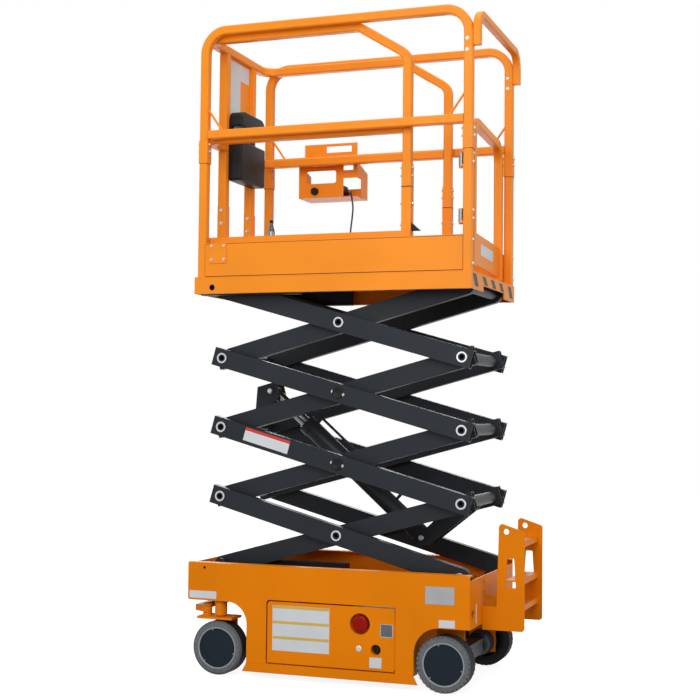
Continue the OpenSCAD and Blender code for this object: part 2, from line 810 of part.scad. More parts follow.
// Inner arm pair: two tubes, cross tubes on the end pins, bores for the outer arms' pins
module inner_arm(i) {
    bores = concat(i == 1 ? [] : [0], [arm_l / 2, arm_l]);
    color(charcoal) at_inner(i) {
        both_sides() difference() {
            arm_tube(arm_in_y, i);
            for (x = bores) translate([x, 0, 0])
                bar_y(pin_d + pin_fit * 2, arm_core_y - over, arm_in_y + over);
        }
        for (x = [0, arm_l]) translate([x, 0, 0]) bar_y(cross_d, -arm_core_y, arm_core_y);
        if (i == 1) both_sides() {
            bar_y(pin_d, arm_in_y, arm_in_y + roller_gap + roller_w);
            bar_y(roller_d, arm_in_y + roller_gap, arm_in_y + roller_gap + roller_w);
        }
        if (i == 1) barrel_bracket();
        if (i == 3) rod_ears();
    }
}
module inner_arm_1() placed() inner_arm(1);
module inner_arm_2() placed() inner_arm(2);
module inner_arm_3() placed() inner_arm(3);
module inner_arm_4() placed() inner_arm(4);

// LIFT CYLINDER

// Barrel pin in the frame of inner arm 1, rod pin in the frame of inner arm 3
low_share = 0.75;
low_along = arm_l * low_share;
low_off = -97;
high_along = 162;
high_off = 124;
cheek_t = 12;
cheek_gap = 3;
cheek_r = 36;
eye_bore = 30;
mid_cross_in = 147;
mid_cross = arm_l - mid_cross_in;
cheek_y = eye_w / 2 + cheek_gap;

// A point of an inner arm's frame, as X and Z of the whole part with the arms at an angle
function inner_point(i, along, off, angle) = [
    pivot_x + arm_l * cos(angle) - along * cos(angle) + off * sin(angle),
    pivot_z + (i - 1) * arm_l * sin(angle) + along * sin(angle) + off * cos(angle)
];
barrel_at = inner_point(1, low_along, low_off, arm_angle);
rod_at = inner_point(3, high_along, high_off, arm_angle);
barrel_stow = inner_point(1, low_along, low_off, stow_angle);
rod_stow = inner_point(3, high_along, high_off, stow_angle);
barrel_floor = 48;
cyl_reach = norm(rod_at - barrel_at);
cyl_stow = norm(rod_stow - barrel_stow);
barrel_l = cyl_stow - rod_show;
rod_l = cyl_stow - barrel_floor - rod_room;
cyl_angle = atan2(rod_at[1] - barrel_at[1], rod_at[0] - barrel_at[0]);

// Two cheek plates under inner arm 1 with the barrel's pin, and the cross tube that backs them
bracket_back_in = 32;
bracket_top = 20;
module barrel_bracket() {
    both_sides() plate_xz(cheek_y, cheek_y + cheek_t) {
        translate([low_along, low_off]) circle(r = cheek_r);
        polygon([
            [low_along - cheek_r, low_off], [low_along, low_off - cheek_r],
            [low_along + cheek_r, low_off - cheek_r],
            [arm_l - bracket_back_in, -arm_h / 2], [arm_l, -bracket_top], [arm_l, bracket_top],
            [mid_cross, bracket_top], [mid_cross - cross_d / 2, -bracket_top]
        ]);
    }
    translate([mid_cross, 0, 0]) bar_y(cross_d, -arm_core_y, arm_core_y);
    translate([low_along, 0, low_off])
        bar_y(eye_bore, -cheek_y - cheek_t - pin_proud, cheek_y + cheek_t + pin_proud);
}

// Two ear plates on the front cross tube of inner arm 3, each with its half of the rod's pin
ear_front = 56;
ear_neck = 100;
ear_top = 34;
ear_foot = 24;
module rod_ears() {
    both_sides() {
        plate_xz(cheek_y, cheek_y + cheek_t) polygon([
            [-ear_foot, -ear_foot], [ear_foot, -ear_foot], [high_along + cheek_r, high_off - cheek_r],
            [high_along + cheek_r, high_off + ear_top], [high_along - ear_front, high_off + ear_top],
            [high_along - ear_neck, ear_foot + ear_foot / 2], [-ear_foot, ear_foot]
        ]);
        translate([high_along, 0, high_off])
            bar_y(link_boss_d, cheek_y + cheek_t, cheek_y + cheek_t + pin_proud);
    }
}

module at_cylinder() {
    translate([barrel_at[0], 0, barrel_at[1]]) rotate([0, -cyl_angle, 0]) children();
}
module bar_x(d, x0, x1) {
    translate([x0, 0, 0]) rotate([0, 90, 0]) cylinder(d = d, h = x1 - x0);
}
barrel_flat = 80;
gland_l = 36;
gland_d = 88;
pipe_d = 12;
pipe_off = 66;
pipe_x0 = 196;
pipe_end = 30;
module cylinder_barrel() placed() {
    color(charcoal) at_cylinder() difference() {
        union() {
            bar_y(eye_d, -eye_w / 2, eye_w / 2);
            bar_x(barrel_d, 0, barrel_l);
            bar_x(gland_d, barrel_l - gland_l, barrel_l);
            translate([0, 0, pipe_off]) bar_x(pipe_d, pipe_x0, barrel_l - pipe_end);
            for (x = [pipe_x0, barrel_l - pipe_end - pipe_d])
                block([x, -pipe_d / 2, 0], [x + pipe_d, pipe_d / 2, pipe_off]);
        }
        bar_y(eye_bore + pin_fit * 2, -eye_w / 2 - over, eye_w / 2 + over);
        bar_x(rod_d + slide_fit * 2, barrel_floor, barrel_l + over);
        both_sides() block([-barrel_d, eye_w / 2, -barrel_d], [barrel_flat, barrel_d, barrel_d]);
    }
}
module cylinder_rod() placed() {
    color(steel) at_cylinder() {
        bar_x(rod_d, cyl_reach - rod_l, cyl_reach);
        translate([cyl_reach, 0, 0]) bar_y(eye_d, -eye_w / 2, eye_w / 2);
    }
}

// PLATFORM

// Deck floor plate
module deck() placed() {
    color(orange_light) block([rear_x, -deck_y, deck_z - deck_t], [deck_front, deck_y, deck_z]);
}

// Deck skirt: side channels with an inward lip, a front plate, and a rear plate notched between two ears
deck_lip = 20;
ear_w = 195;
notch_h = 26;
deck_hole_x = 84;
deck_hole_d = 26;
deck_hole_z = 27;
module deck_skirt() placed() {
    roof_z = deck_z - deck_t - seat;
    end_y = deck_y - deck_wall - seat;
    color(orange_light) {
        both_sides() difference() {
            union() {
                block([rear_x, deck_y - deck_wall, deck_low], [deck_front, deck_y, roof_z]);
                block([rear_x + deck_wall + seat, deck_y - deck_lip - deck_wall, deck_low],
                    [deck_front - deck_wall - seat, deck_y - deck_wall, deck_low + deck_wall]);
            }
            translate([deck_front - deck_hole_x, 0, deck_low + deck_hole_z])
                bar_y(deck_hole_d, deck_y - deck_wall - over, deck_y + over);
        }
        block([deck_front - deck_wall, -end_y, deck_low], [deck_front, end_y, roof_z]);
        difference() {
            block([rear_x, -end_y, deck_low], [rear_x + deck_wall, end_y, roof_z]);
            block([rear_x - over, ear_w - deck_y, deck_low - over],
                [rear_x + deck_wall + over, deck_y - ear_w, deck_low + notch_h]);
        }
    }
}

// Under the deck: roller channels for the top outer arms, and the rear lugs with pins for the top inner arms
channel_t = 6;
channel_x0 = pivot_x + arm_l * cos(top_angle) - deck_roller_d;
channel_end = 16;
channel_y = arm_out_y + roller_gap + roller_w + roller_gap;
module deck_tracks() placed() {
    floor_z = top_z - deck_roller_d / 2 - slide_fit;
    roof_z = deck_z - deck_t - seat;
    front = deck_front - channel_end;
    color(charcoal) both_sides() {
        block([channel_x0, channel_y, floor_z - channel_t], [front, channel_y + channel_t, roof_z]);
        block([channel_x0, arm_out_y + roller_gap, floor_z - channel_t], [front, channel_y, floor_z]);
        difference() {
            union() {
                plate_xz(arm_in_y + lug_gap, arm_in_y + lug_gap + lug_t) {
                    translate([pivot_x, top_z]) circle(r = lug_r);
                    translate([pivot_x - lug_r, top_z]) square([lug_r + lug_r, roof_z - top_z]);
                }
                translate([pivot_x, 0, top_z])
                    bar_y(pin_d, arm_core_y + pin_short, arm_in_y + lug_gap + lug_t);
            }
            translate([pivot_x, 0, top_z]) bar_y(pin_bore, arm_in_y, arm_in_y + lug_gap + lug_t + over);
        }
    }
}

// Toe boards along both sides between the posts, with the bolted joint plate near the front
joint_in = 120;
joint_w = 83;
joint_h = 86;
joint_low = 58;
joint_t = 3;
module toe_boards() placed() {
    joint_x = post_front - joint_in;
    color(orange_light) both_sides() {
        block([post_rear + rail_c, deck_y - toe_in - toe_t, deck_z],
            [post_front - rail_c, deck_y - toe_in, deck_z + toe_h]);
        block([joint_x, deck_y - toe_in, deck_z + joint_low],
            [joint_x + joint_w, deck_y - toe_in + joint_t, deck_z + joint_low + joint_h]);
    }
}

// Side rail: a tube bent over both posts, a mid rail, sleeves on the posts and harness anchors
sleeve_s = 42;
sleeve_low = 503;
sleeve_h = 100;
anchor_d = 10;
anchor_up = 88;
anchor_out = 62;
module post_sleeve(x, y, low, high) {
    block([x - sleeve_s / 2, y - sleeve_s / 2, low], [x + sleeve_s / 2, y + rail_c, high]);
}
module anchor(x, s) {
    z0 = mid_z + rail_c;
    hull() {
        translate([x + s * rail_c, main_y, z0 + anchor_up]) sphere(d = anchor_d, $fn = 16);
        translate([x + s * (rail_c + anchor_out), main_y, z0]) sphere(d = anchor_d, $fn = 16);
    }
}
module main_rail() {
    color(orange_light) {
        rail_xz([[post_rear, deck_z], [post_rear, rail_top], [post_front, rail_top], [post_front, deck_z]],
            [0, rail_bend, rail_bend, 0], main_y);
        rail_xz([[post_rear + rail_c, mid_z], [post_front - rail_c, mid_z]], [0, 0], main_y);
        for (x = [post_rear, post_front])
            post_sleeve(x, main_y, deck_z + sleeve_low, deck_z + sleeve_low + sleeve_h);
        anchor(post_rear, 1);
        anchor(post_front, -1);
    }
}
module main_rail_left() placed() {
    main_rail();
    hinge_leaves();
}
module main_rail_right() placed() mirror([0, 1, 0]) main_rail();

// Rear top rail: a tube bent over between the rear posts, bolted behind them
rear_rail_down = 37;
rear_rail_h = 140;
rear_rail_s = 32;
rear_rail_bend = 70;
module rear_rail() placed() {
    x = post_rear - rail_c - rear_rail_s / 2;
    z1 = deck_z + rail_h - rear_rail_down;
    z0 = z1 - rear_rail_h;
    color(orange_light) rail_yz([[-main_y, z0], [-main_y, z1], [main_y, z1], [main_y, z0]],
        [0, rear_rail_bend, rear_rail_bend, 0], x, rear_rail_s);
}

// Gate: a bent tube with a toe plate on two hinge barrels, standing a little ajar inward
gate_y = inner_y;
gate_top = 634;
gate_bend = 80;
gate_low = 20;
gate_toe_low = 38;
gate_toe_h = 135;
gate_toe_t = 4;
gate_ajar = 3.5;
hinge_in_x = 44;
hinge_in_y = 4;
hinge_y = gate_y - hinge_in_y;
hinge_d = 22;
hinge_pin_d = 10;
hinge_l = 64;
hinge_leaf = 8;
leaf_half = 13;
hinge_zs = [199, 433];
hinge_at = [post_rear + hinge_in_x, hinge_y];
module gate_frame() {
    z0 = deck_z + gate_low;
    color(orange_light) {
        rail_yz([[-gate_y, z0], [-gate_y, deck_z + gate_top], [gate_y, deck_z + gate_top], [gate_y, z0]],
            [0, gate_bend, gate_bend, 0], post_rear);
        block([post_rear - gate_toe_t / 2, rail_c - gate_y, deck_z + gate_toe_low],
            [post_rear + gate_toe_t / 2, gate_y - rail_c, deck_z + gate_toe_low + gate_toe_h]);
    }
    color(steel) for (z = hinge_zs) difference() {
        union() {
            translate([hinge_at[0], hinge_at[1], deck_z + z + hinge_leaf + link_gap])
                cylinder(d = hinge_d, h = hinge_l - hinge_leaf);
            block([post_rear + rail_c, hinge_y - hinge_leaf, deck_z + z + hinge_leaf + link_gap],
                [hinge_at[0], hinge_y, deck_z + z + hinge_l]);
        }
        translate([hinge_at[0], hinge_at[1], deck_z + z])
            cylinder(r = hinge_pin_d / 2 + pin_fit, h = hinge_l + hinge_l);
    }
}
module gate() placed() {
    translate([hinge_at[0], hinge_at[1], 0]) rotate(gate_ajar)
        translate([-hinge_at[0], -hinge_at[1], 0]) gate_frame();
}

// Leaves on the left rear post that carry the gate's hinge pins
module hinge_leaves() {
    color(steel) for (z = hinge_zs) {
        translate([0, 0, deck_z + z]) linear_extrude(hinge_leaf) {
            translate(hinge_at) circle(d = hinge_d);
            polygon([
                hinge_at + [-hinge_d / 2, 0], hinge_at + [0, -hinge_d / 2], hinge_at + [hinge_d / 2, 0],
                [post_rear + rail_c, main_y + leaf_half], [post_rear, main_y + leaf_half],
                [post_rear, main_y - leaf_half], [post_rear + rail_c, main_y - leaf_half]
            ]);
        }
        translate([hinge_at[0], hinge_at[1], deck_z + z]) cylinder(d = hinge_pin_d, h = hinge_l);
    }
}

// EXTENSION

// Roll-out deck on slide strips, with its own toe boards and front board
ext_gap = 6;
ext_t = 6;
ext_ahead = 2;
strip_w = 30;
ext_front = deck_front + ext_ahead;
ext_rear = inner_post_x - rail_c;
ext_y = inner_y + rail_c + seat + toe_t;
module extension_deck() placed() {
    z0 = deck_z + ext_gap;
    color(orange_light) {
        block([ext_rear, -ext_y, z0], [ext_front, ext_y, z0 + ext_t]);
        both_sides() {
            block([ext_rear, inner_y - strip_w, deck_z + slide_fit], [ext_front, inner_y, z0]);
            block([ext_rear, ext_y - toe_t, z0 + ext_t], [ext_front, ext_y, deck_z + inner_toe_h]);
        }
        block([ext_front - toe_t, toe_t - ext_y, z0 + ext_t],
            [ext_front, ext_y - toe_t, deck_z + inner_toe_h]);
    }
}

// Extension rails: two sides that drop to the rear posts, a front with two rails and two posts
drop_run = 223;
drop_angle = 32;
drop_bend = 60;
front_bend = 70;
front_post_y = 143;
inner_front = ext_front - toe_t - seat - rail_c;
inner_top = rail_top - inner_drop;
inner_mid_drop = 14;
inner_mid = mid_z - inner_mid_drop;
inner_low = deck_z + ext_gap + ext_t + seat;
inner_sleeve_top = 462;
front_socket_top = 345;
module inner_side() {
    drop_z = inner_top - drop_run * tan(drop_angle);
    front = inner_front - front_bend - seat;
    color(orange_light) {
        rail_xz([[front, inner_top], [inner_post_x + drop_run, inner_top], [inner_post_x, drop_z],
            [inner_post_x, inner_low]], [0, drop_bend, drop_bend, 0], inner_y);
        rail_xz([[inner_post_x + rail_c, inner_mid], [front, inner_mid]], [0, 0], inner_y);
        post_sleeve(inner_post_x, inner_y, inner_low, deck_z + inner_sleeve_top);
    }
}
module extension_side_left() placed() inner_side();
module extension_side_right() placed() mirror([0, 1, 0]) inner_side();

module inner_front_rail(z) {
    translate([0, 0, z]) tube_run(
        [[inner_front - front_bend, inner_y], [inner_front, inner_y], [inner_front, -inner_y],
            [inner_front - front_bend, -inner_y]],
        [0, front_bend, front_bend, 0], rail_s);
}
module front_post(z0, z1) {
    block([inner_front - rail_c, front_post_y - rail_c, z0],
        [inner_front + rail_c, front_post_y + rail_c, z1]);
}
module extension_front() placed() {
    color(orange_light) {
        inner_front_rail(inner_top);
        inner_front_rail(inner_mid);
        both_sides() {
            front_post(inner_low, inner_mid - rail_c - seat);
            block([inner_front - sleeve_s / 2, front_post_y - sleeve_s / 2, inner_low],
                [inner_front + rail_c, front_post_y + sleeve_s / 2, deck_z + front_socket_top]);
            front_post(inner_mid + rail_c + seat, inner_top - rail_c - seat);
        }
    }
}

// Sheet panel between the front posts
panel_t = 4;
panel_low = 770;
module front_panel() placed() {
    color(orange_light) block(
        [inner_front - panel_t / 2, rail_c + seat - front_post_y, deck_z + panel_low],
        [inner_front + panel_t / 2, front_post_y - rail_c - seat, inner_top - rail_c - seat]);
}

// Document box hung on the front posts: a pocket and a hooded lid on one board, open between them
doc_w = 270;
doc_low = 466;
doc_h = 320;
doc_t = 64;
doc_r = 48;
doc_foot_r = 15;
doc_board_t = 8;
doc_pocket_h = 183;
doc_gap = 64;
doc_strip = 36;
module document_box() placed() {
    color(black) translate([inner_front - rail_c - seat - doc_t, 0, deck_z + doc_low]) difference() {
        rotate([90, 0, 90]) linear_extrude(doc_t) polygon(concat(
            arc([doc_foot_r - doc_w / 2, doc_foot_r], doc_foot_r, 180, 270),
            arc([doc_w / 2 - doc_foot_r, doc_foot_r], doc_foot_r, 270, 360),
            arc([doc_w / 2 - doc_r, doc_h - doc_r], doc_r, 0, 90),
            arc([doc_r - doc_w / 2, doc_h - doc_r], doc_r, 90, 180)
        ));
        block([-over, -doc_w / 2 - over, doc_pocket_h],
            [doc_t - doc_board_t, doc_w / 2 + over, doc_pocket_h + doc_gap]);
        block([-over, doc_strip - doc_w / 2, doc_pocket_h],
            [doc_t + over, doc_w / 2 - doc_strip, doc_pocket_h + doc_gap]);
    }
}

// Control holder: a folded sheet cradle outside the right mid rail, with its window, slot and cut-outs
holder_in = 149;
holder_w = 301;
holder_step = 30;
holder_x1 = post_front - holder_in;
holder_x0 = holder_x1 - holder_w;
holder_top_x1 = holder_x1 - holder_step;
holder_low = 453;
holder_h = 260;
holder_t = 3;
holder_side_low = 130;
slit_in = 29;
slit_w = 129;
slit_up = 217;
slit_h = 30;
window_in = 40;
window_w = 153;
window_z0 = 69;
window_z1 = 130;
window_r = 12;
window_x1 = holder_x1 - window_in;
port_w = 70;
port_z1 = 90;
port_y = 60;
notch_w = 50;
notch_up = 128;
notch_tall = 22;
lip_h = 60;
module eased_square(x0, z0, x1, z1, r) {
    polygon(concat(
        arc([x1 - r, z0 + r], r, -90, 0), arc([x1 - r, z1 - r], r, 0, 90),
        arc([x0 + r, z1 - r], r, 90, 180), arc([x0 + r, z0 + r], r, 180, 270)
    ));
}
module holder_face() {
    difference() {
        polygon([
            [holder_x0, 0], [holder_x1, 0], [holder_x1, holder_h - port_z1],
            [holder_top_x1, holder_h - port_z1], [holder_top_x1, holder_h], [holder_x0, holder_h]
        ]);
        translate([holder_x0 + slit_in, slit_up]) square([slit_w, slit_h]);
        eased_square(window_x1 - window_w, window_z0, window_x1, window_z1, window_r);
        translate([holder_x0 - over, -over]) square([port_w + over, port_z1 + over]);
        translate([holder_x0 + port_w - notch_w, notch_up]) square([notch_w, notch_tall]);
    }
}
// Side of the holder, drawn in depth and height, its top edge falling away outward
module holder_side(cut) {
    deep = holder_out - holder_y - holder_t;
    rotate([90, 0, 90]) linear_extrude(holder_t) polygon([
        [cut, 0], [deep, 0], [deep, holder_side_low], [0, holder_h - port_z1], [0, port_z1], [cut, port_z1]
    ]);
}
module control_holder() placed() {
    color(orange_light) mirror([0, 1, 0]) translate([0, holder_y, deck_z + holder_low]) {
        plate_xz(0, holder_t) holder_face();
        translate([0, holder_t, 0]) {
            translate([holder_x0, 0, 0]) holder_side(port_y);
            translate([holder_x1 - holder_t, 0, 0]) holder_side(0);
        }
        block([holder_x0 + holder_t, holder_t, 0], [holder_x1 - holder_t, holder_out - holder_y, holder_t]);
        block([holder_x0 + holder_t, holder_out - holder_y - holder_t, holder_t],
            [holder_x1 - holder_t, holder_out - holder_y, lip_h]);
    }
}

// Control box in the holder with its joystick, cable gland and the knob on the holder's face
ctrl_in = 30;
ctrl_l = 180;
ctrl_w = 100;
ctrl_gap = 24;
ctrl_h = 62;
ctrl_x1 = holder_x1 - ctrl_in;
ctrl_x0 = ctrl_x1 - ctrl_l;
ctrl_y0 = holder_y + ctrl_gap;
ctrl_y1 = ctrl_y0 + ctrl_w;
stick_in = 25;
stick_x = ctrl_x0 + stick_in;
stick_y = ctrl_y0 + ctrl_w / 2;
stick_d = 26;
stick_h = 105;
knob_in = 85;
knob_x = holder_x1 - knob_in;
knob_up = 31;
knob_d = 36;
knob_l = 14;
gland_up = 24;
gland_tip_l = 20;
gland_tip_d = 18;
module control_box() placed() {
    z0 = deck_z + holder_low + holder_t + seat;
    color(black) mirror([0, 1, 0]) {
        block([ctrl_x0, ctrl_y0, z0], [ctrl_x1, ctrl_y1, z0 + ctrl_h]);
        translate([stick_x, stick_y, z0 + ctrl_h]) cylinder(d = stick_d, h = stick_h);
        translate([ctrl_x0 - gland_tip_l, stick_y, z0 + gland_up]) bar_x(gland_tip_d, 0, gland_tip_l);
        translate([knob_x, 0, deck_z + holder_low + knob_up])
            bar_y(knob_d, holder_y - knob_l, holder_y - seat);
    }
}

// Deck lock: a grip on the rear face of the left extension post
grip_l = 38;
grip_w = 20;
grip_low = 178;
grip_h = 34;
module deck_lock() placed() {
    back = inner_post_x - sleeve_s / 2 - seat;
    color(black) translate([0, inner_y - grip_w / 2, deck_z + grip_low]) plate_xz(0, grip_w)
        polygon([[back, 0], [back - grip_l, 0], [back, grip_h]]);
}

// Lever stand by the right toe board of the extension: a post with a tapered boot and a ball
lever_d = 37;
lever_tip = 12;
lever_shoulder = 286;
lever_top = 335;
lever_ball = 16;
lever_back = 44;
lever_gap = 4;
lever_y = ext_y - toe_t - lever_gap - lever_d / 2;
module deck_lever() placed() {
    color(steel) translate([inner_front - lever_back, -lever_y, 0]) {
        translate([0, 0, inner_low]) cylinder(d = lever_d, h = deck_z + lever_shoulder - inner_low);
        translate([0, 0, deck_z + lever_shoulder])
            cylinder(d1 = lever_d, d2 = lever_tip, h = lever_top - lever_shoulder);
        translate([0, 0, deck_z + lever_top]) sphere(d = lever_ball);
    }
}

// Control cable from the box's gland through the cut-out and down to a gland on the deck
cable_d = 8;
cable_sides = 10;
cable_from = [ctrl_x0 - gland_tip_l - seat, -stick_y, deck_z + holder_low + holder_t + seat + gland_up];
cable_foot = [cable_from[0], cable_from[1], deck_z + seat];
cable_upper = [
    [0, 0, 0], [-8, 0, 0], [-18, 10, 1], [-28, 36, 0], [-38, 64, -8], [-47, 84, -28], [-55, 94, -56],
    [-60, 98, -87]
];
cable_lower = [
    [-57, 98, 350], [-51, 98, 300], [-45, 98, 240], [-41, 98, 180], [-39, 98, 120], [-38, 98, 60],
    [-38, 98, 0]
];
cable_route = concat([for (p = cable_upper) cable_from + p], [for (p = cable_lower) cable_foot + p]);
function cable_tangent(i) =
    let (a = cable_route[max(i - 1, 0)], b = cable_route[min(i + 1, len(cable_route) - 1)])
    (b - a) / norm(b - a);
function cable_ring(i) =
    let (t = cable_tangent(i), u = cross(t, [0, 1, 0]) / norm(cross(t, [0, 1, 0])), v = cross(t, u))
    [for (k = [0 : cable_sides - 1])
        cable_route[i] + cable_d / 2 * (cos(360 * k / cable_sides) * u + sin(360 * k / cable_sides) * v)];
module cable() placed() {
    n = len(cable_route);
    s = cable_sides;
    points = [for (i = [0 : n - 1]) each cable_ring(i)];
    walls = [for (i = [0 : n - 2], k = [0 : s - 1])
        [i * s + k, i * s + (k + 1) % s, (i + 1) * s + (k + 1) % s, (i + 1) * s + k]];
    first = [for (k = [s - 1 : -1 : 0]) k];
    last = [for (k = [0 : s - 1]) (n - 1) * s + k];
    color(black) polyhedron(points, concat([first], walls, [last]));
}

chassis_side_left();
chassis_side_right();
chassis_frame();
front_beam();
arm_base();
rear_axle();
battery_pack();
power_unit();
ladder_sides();
ladder_rungs();
side_guards();
door_left();
door_right();
stop_button();
door_controls();
knuckle_left();
knuckle_right();
tie_rod();
tyre_front_left();
tyre_front_right();
tyre_rear_left();
tyre_rear_right();
hub_front_left();
hub_front_right();
hub_rear_left();
hub_rear_right();
outer_arm_1();
outer_arm_2();
outer_arm_3();
outer_arm_4();
inner_arm_1();
inner_arm_2();
inner_arm_3();
inner_arm_4();
cylinder_barrel();
cylinder_rod();
deck();
deck_skirt();
deck_tracks();
toe_boards();
main_rail_left();
main_rail_right();
rear_rail();
gate();
extension_deck();
extension_side_left();
extension_side_right();
extension_front();
front_panel();
document_box();
control_holder();
control_box();
deck_lock();
deck_lever();
cable();
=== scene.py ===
# %% [markdown]
# # A compact scissor lift, dressed for a studio photograph
#
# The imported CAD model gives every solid, joint and size. This script adds what a camera notices on
# such a machine: paint, rubber and chrome, bolt heads, pin rings, blank plates, stripes and the
# cable. Every place is worked out from the frame or from a named size in millimetres, so a piece
# stays where it belongs when a size of the model changes.

# %% Load the frame
import json
import math

import bmesh
import bpy
from mathutils import Matrix, Vector


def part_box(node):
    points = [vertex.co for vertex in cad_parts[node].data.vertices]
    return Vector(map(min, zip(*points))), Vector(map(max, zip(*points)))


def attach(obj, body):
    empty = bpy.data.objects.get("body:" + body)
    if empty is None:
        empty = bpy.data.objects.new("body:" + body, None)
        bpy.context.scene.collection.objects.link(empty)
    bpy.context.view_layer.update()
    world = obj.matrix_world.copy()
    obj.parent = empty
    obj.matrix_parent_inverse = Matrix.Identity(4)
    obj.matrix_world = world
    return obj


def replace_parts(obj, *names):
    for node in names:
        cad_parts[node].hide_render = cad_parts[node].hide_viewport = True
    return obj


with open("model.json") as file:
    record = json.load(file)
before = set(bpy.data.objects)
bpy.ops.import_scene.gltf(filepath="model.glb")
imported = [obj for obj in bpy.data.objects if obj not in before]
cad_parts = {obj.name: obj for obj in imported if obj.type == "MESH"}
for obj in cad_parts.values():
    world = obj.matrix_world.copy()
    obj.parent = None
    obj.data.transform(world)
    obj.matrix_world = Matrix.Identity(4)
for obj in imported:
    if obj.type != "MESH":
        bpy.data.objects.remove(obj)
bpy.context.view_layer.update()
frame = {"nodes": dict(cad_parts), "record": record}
nodes = frame["nodes"]
joints = frame["record"]["behaviour"]["joints"]
pivot = {joint["name"]: Vector(joint["pos_m"]) for joint in joints}
MM = 0.001
BOTH_SIDES = (1, -1)


def box(node):
    """Lowest and highest corner of a CAD node, as vectors in metres."""
    low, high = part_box(node)
    return Vector(low), Vector(high)


frame_low, frame_high = box("chassis_frame")
deck_low, deck_high = box("deck")
MIDDLE = (frame_low.y + frame_high.y) / 2
DECK_TOP = deck_high.z
REAR_FACE = deck_low.x / MM


def at(x, y, z):
    """A place in millimetres, y from the machine's middle plane, as a vector in metres."""
    return Vector((x * MM, y * MM + MIDDLE, z * MM))


def on_deck(x, y, rise):
    """A place on the platform, its height counted from the deck."""
    return Vector((x * MM, y * MM + MIDDLE, DECK_TOP + rise * MM))


print("middle plane at y =", round(MIDDLE, 3), "m, deck at z =", round(DECK_TOP, 4), "m")

# %% [markdown]
# ## Camera
#
# The photograph was matched: a lens of about 70 mm on a full-frame sensor, lower than the
# platform deck, some six metres away on the left and slightly behind, tipped up by under three
# degrees and rolled by half a degree. A Track To constraint would aim it too, but it can't roll,
# so the three axes are worked out from the angles.

# %% Camera
CAMERA_AT = Vector((-1.954, 5.772, 1.137))
CAMERA_YAW = 20.0
CAMERA_PITCH = 2.6
CAMERA_ROLL = 0.58
CAMERA_LENS = 69.55
SENSOR_WIDTH = 36

yaw, pitch, roll = (math.radians(a) for a in (CAMERA_YAW, CAMERA_PITCH, CAMERA_ROLL))
reach = math.cos(pitch)
ahead = Vector((math.sin(yaw) * reach, -math.cos(yaw) * reach, math.sin(pitch)))
level = Vector((-math.cos(yaw), -math.sin(yaw), 0))
above = level.cross(ahead)
right = level * math.cos(roll) + above * math.sin(roll)
up = above * math.cos(roll) - level * math.sin(roll)
camera_data = bpy.data.cameras.new("studio_camera")
camera_data.sensor_width = SENSOR_WIDTH
camera_data.lens = CAMERA_LENS
camera = bpy.data.objects.new("studio_camera", camera_data)
bpy.context.scene.collection.objects.link(camera)
camera_turn = Matrix((right, up, -ahead)).transposed().to_4x4()
camera.matrix_world = Matrix.Translation(CAMERA_AT) @ camera_turn
bpy.context.scene.camera = camera
print("camera at", tuple(round(c, 2) for c in CAMERA_AT))

# %% [markdown]
# ## Shaders
#
# Each finish is a small network on object coordinates, so a pattern stays on its piece when the
# piece moves; image textures would need unwrapped meshes, which CAD solids don't have. These
# helpers add one node each, so that a finish below reads as a few lines.

# %% Shader helpers
MIX_FACTOR, MIX_FIRST, MIX_SECOND, MIX_COLOUR = 0, 6, 7, 2
EDGE_SAMPLES = 3
MID_NOISE, WIDE_NOISE = (0.35, 0.65), (0.3, 0.7)


def shader(name, rough, metal=0.0):
    """A principled material; returns it with its tree, shader node and object coordinates."""
    material = bpy.data.materials.new(name)
    material.use_nodes = True
    tree = material.node_tree
    tree.nodes.clear()
    output = tree.nodes.new("ShaderNodeOutputMaterial")
    surface = tree.nodes.new("ShaderNodeBsdfPrincipled")
    surface.inputs["Roughness"].default_value = rough
    surface.inputs["Metallic"].default_value = metal
    tree.links.new(surface.outputs["BSDF"], output.inputs["Surface"])
    coords = tree.nodes.new("ShaderNodeTexCoord").outputs["Object"]
    return material, tree, surface, coords


def noise(tree, coords, scale, detail=3.0):
    """Noise of that many cells per metre."""
    node = tree.nodes.new("ShaderNodeTexNoise")
    node.inputs["Scale"].default_value = scale
    node.inputs["Detail"].default_value = detail
    tree.links.new(coords, node.inputs["Vector"])
    return node.outputs["Fac"]


def spread(tree, value, low, high, to_low, to_high):
    """Maps a value from one range to another."""
    node = tree.nodes.new("ShaderNodeMapRange")
    limits = {"From Min": low, "From Max": high, "To Min": to_low, "To Max": to_high}
    for socket, number in limits.items():
        node.inputs[socket].default_value = number
    tree.links.new(value, node.inputs["Value"])
    return node.outputs["Result"]


def combine(tree, operation, first, second):
    """Math on two sockets."""
    node = tree.nodes.new("ShaderNodeMath")
    node.operation = operation
    for value, socket in zip((first, second), node.inputs):
        tree.links.new(value, socket)
    return node.outputs["Value"]


def part_of(tree, vector, axis):
    """One axis of a vector."""
    node = tree.nodes.new("ShaderNodeSeparateXYZ")
    tree.links.new(vector, node.inputs["Vector"])
    return node.outputs[axis]


def two_tone(tree, factor, first, second):
    """Colour that goes from first to second with the factor."""
    node = tree.nodes.new("ShaderNodeMix")
    node.data_type = "RGBA"
    node.inputs[MIX_FIRST].default_value = (*first, 1)
    node.inputs[MIX_SECOND].default_value = (*second, 1)
    tree.links.new(factor, node.inputs[MIX_FACTOR])
    return node.outputs[MIX_COLOUR]


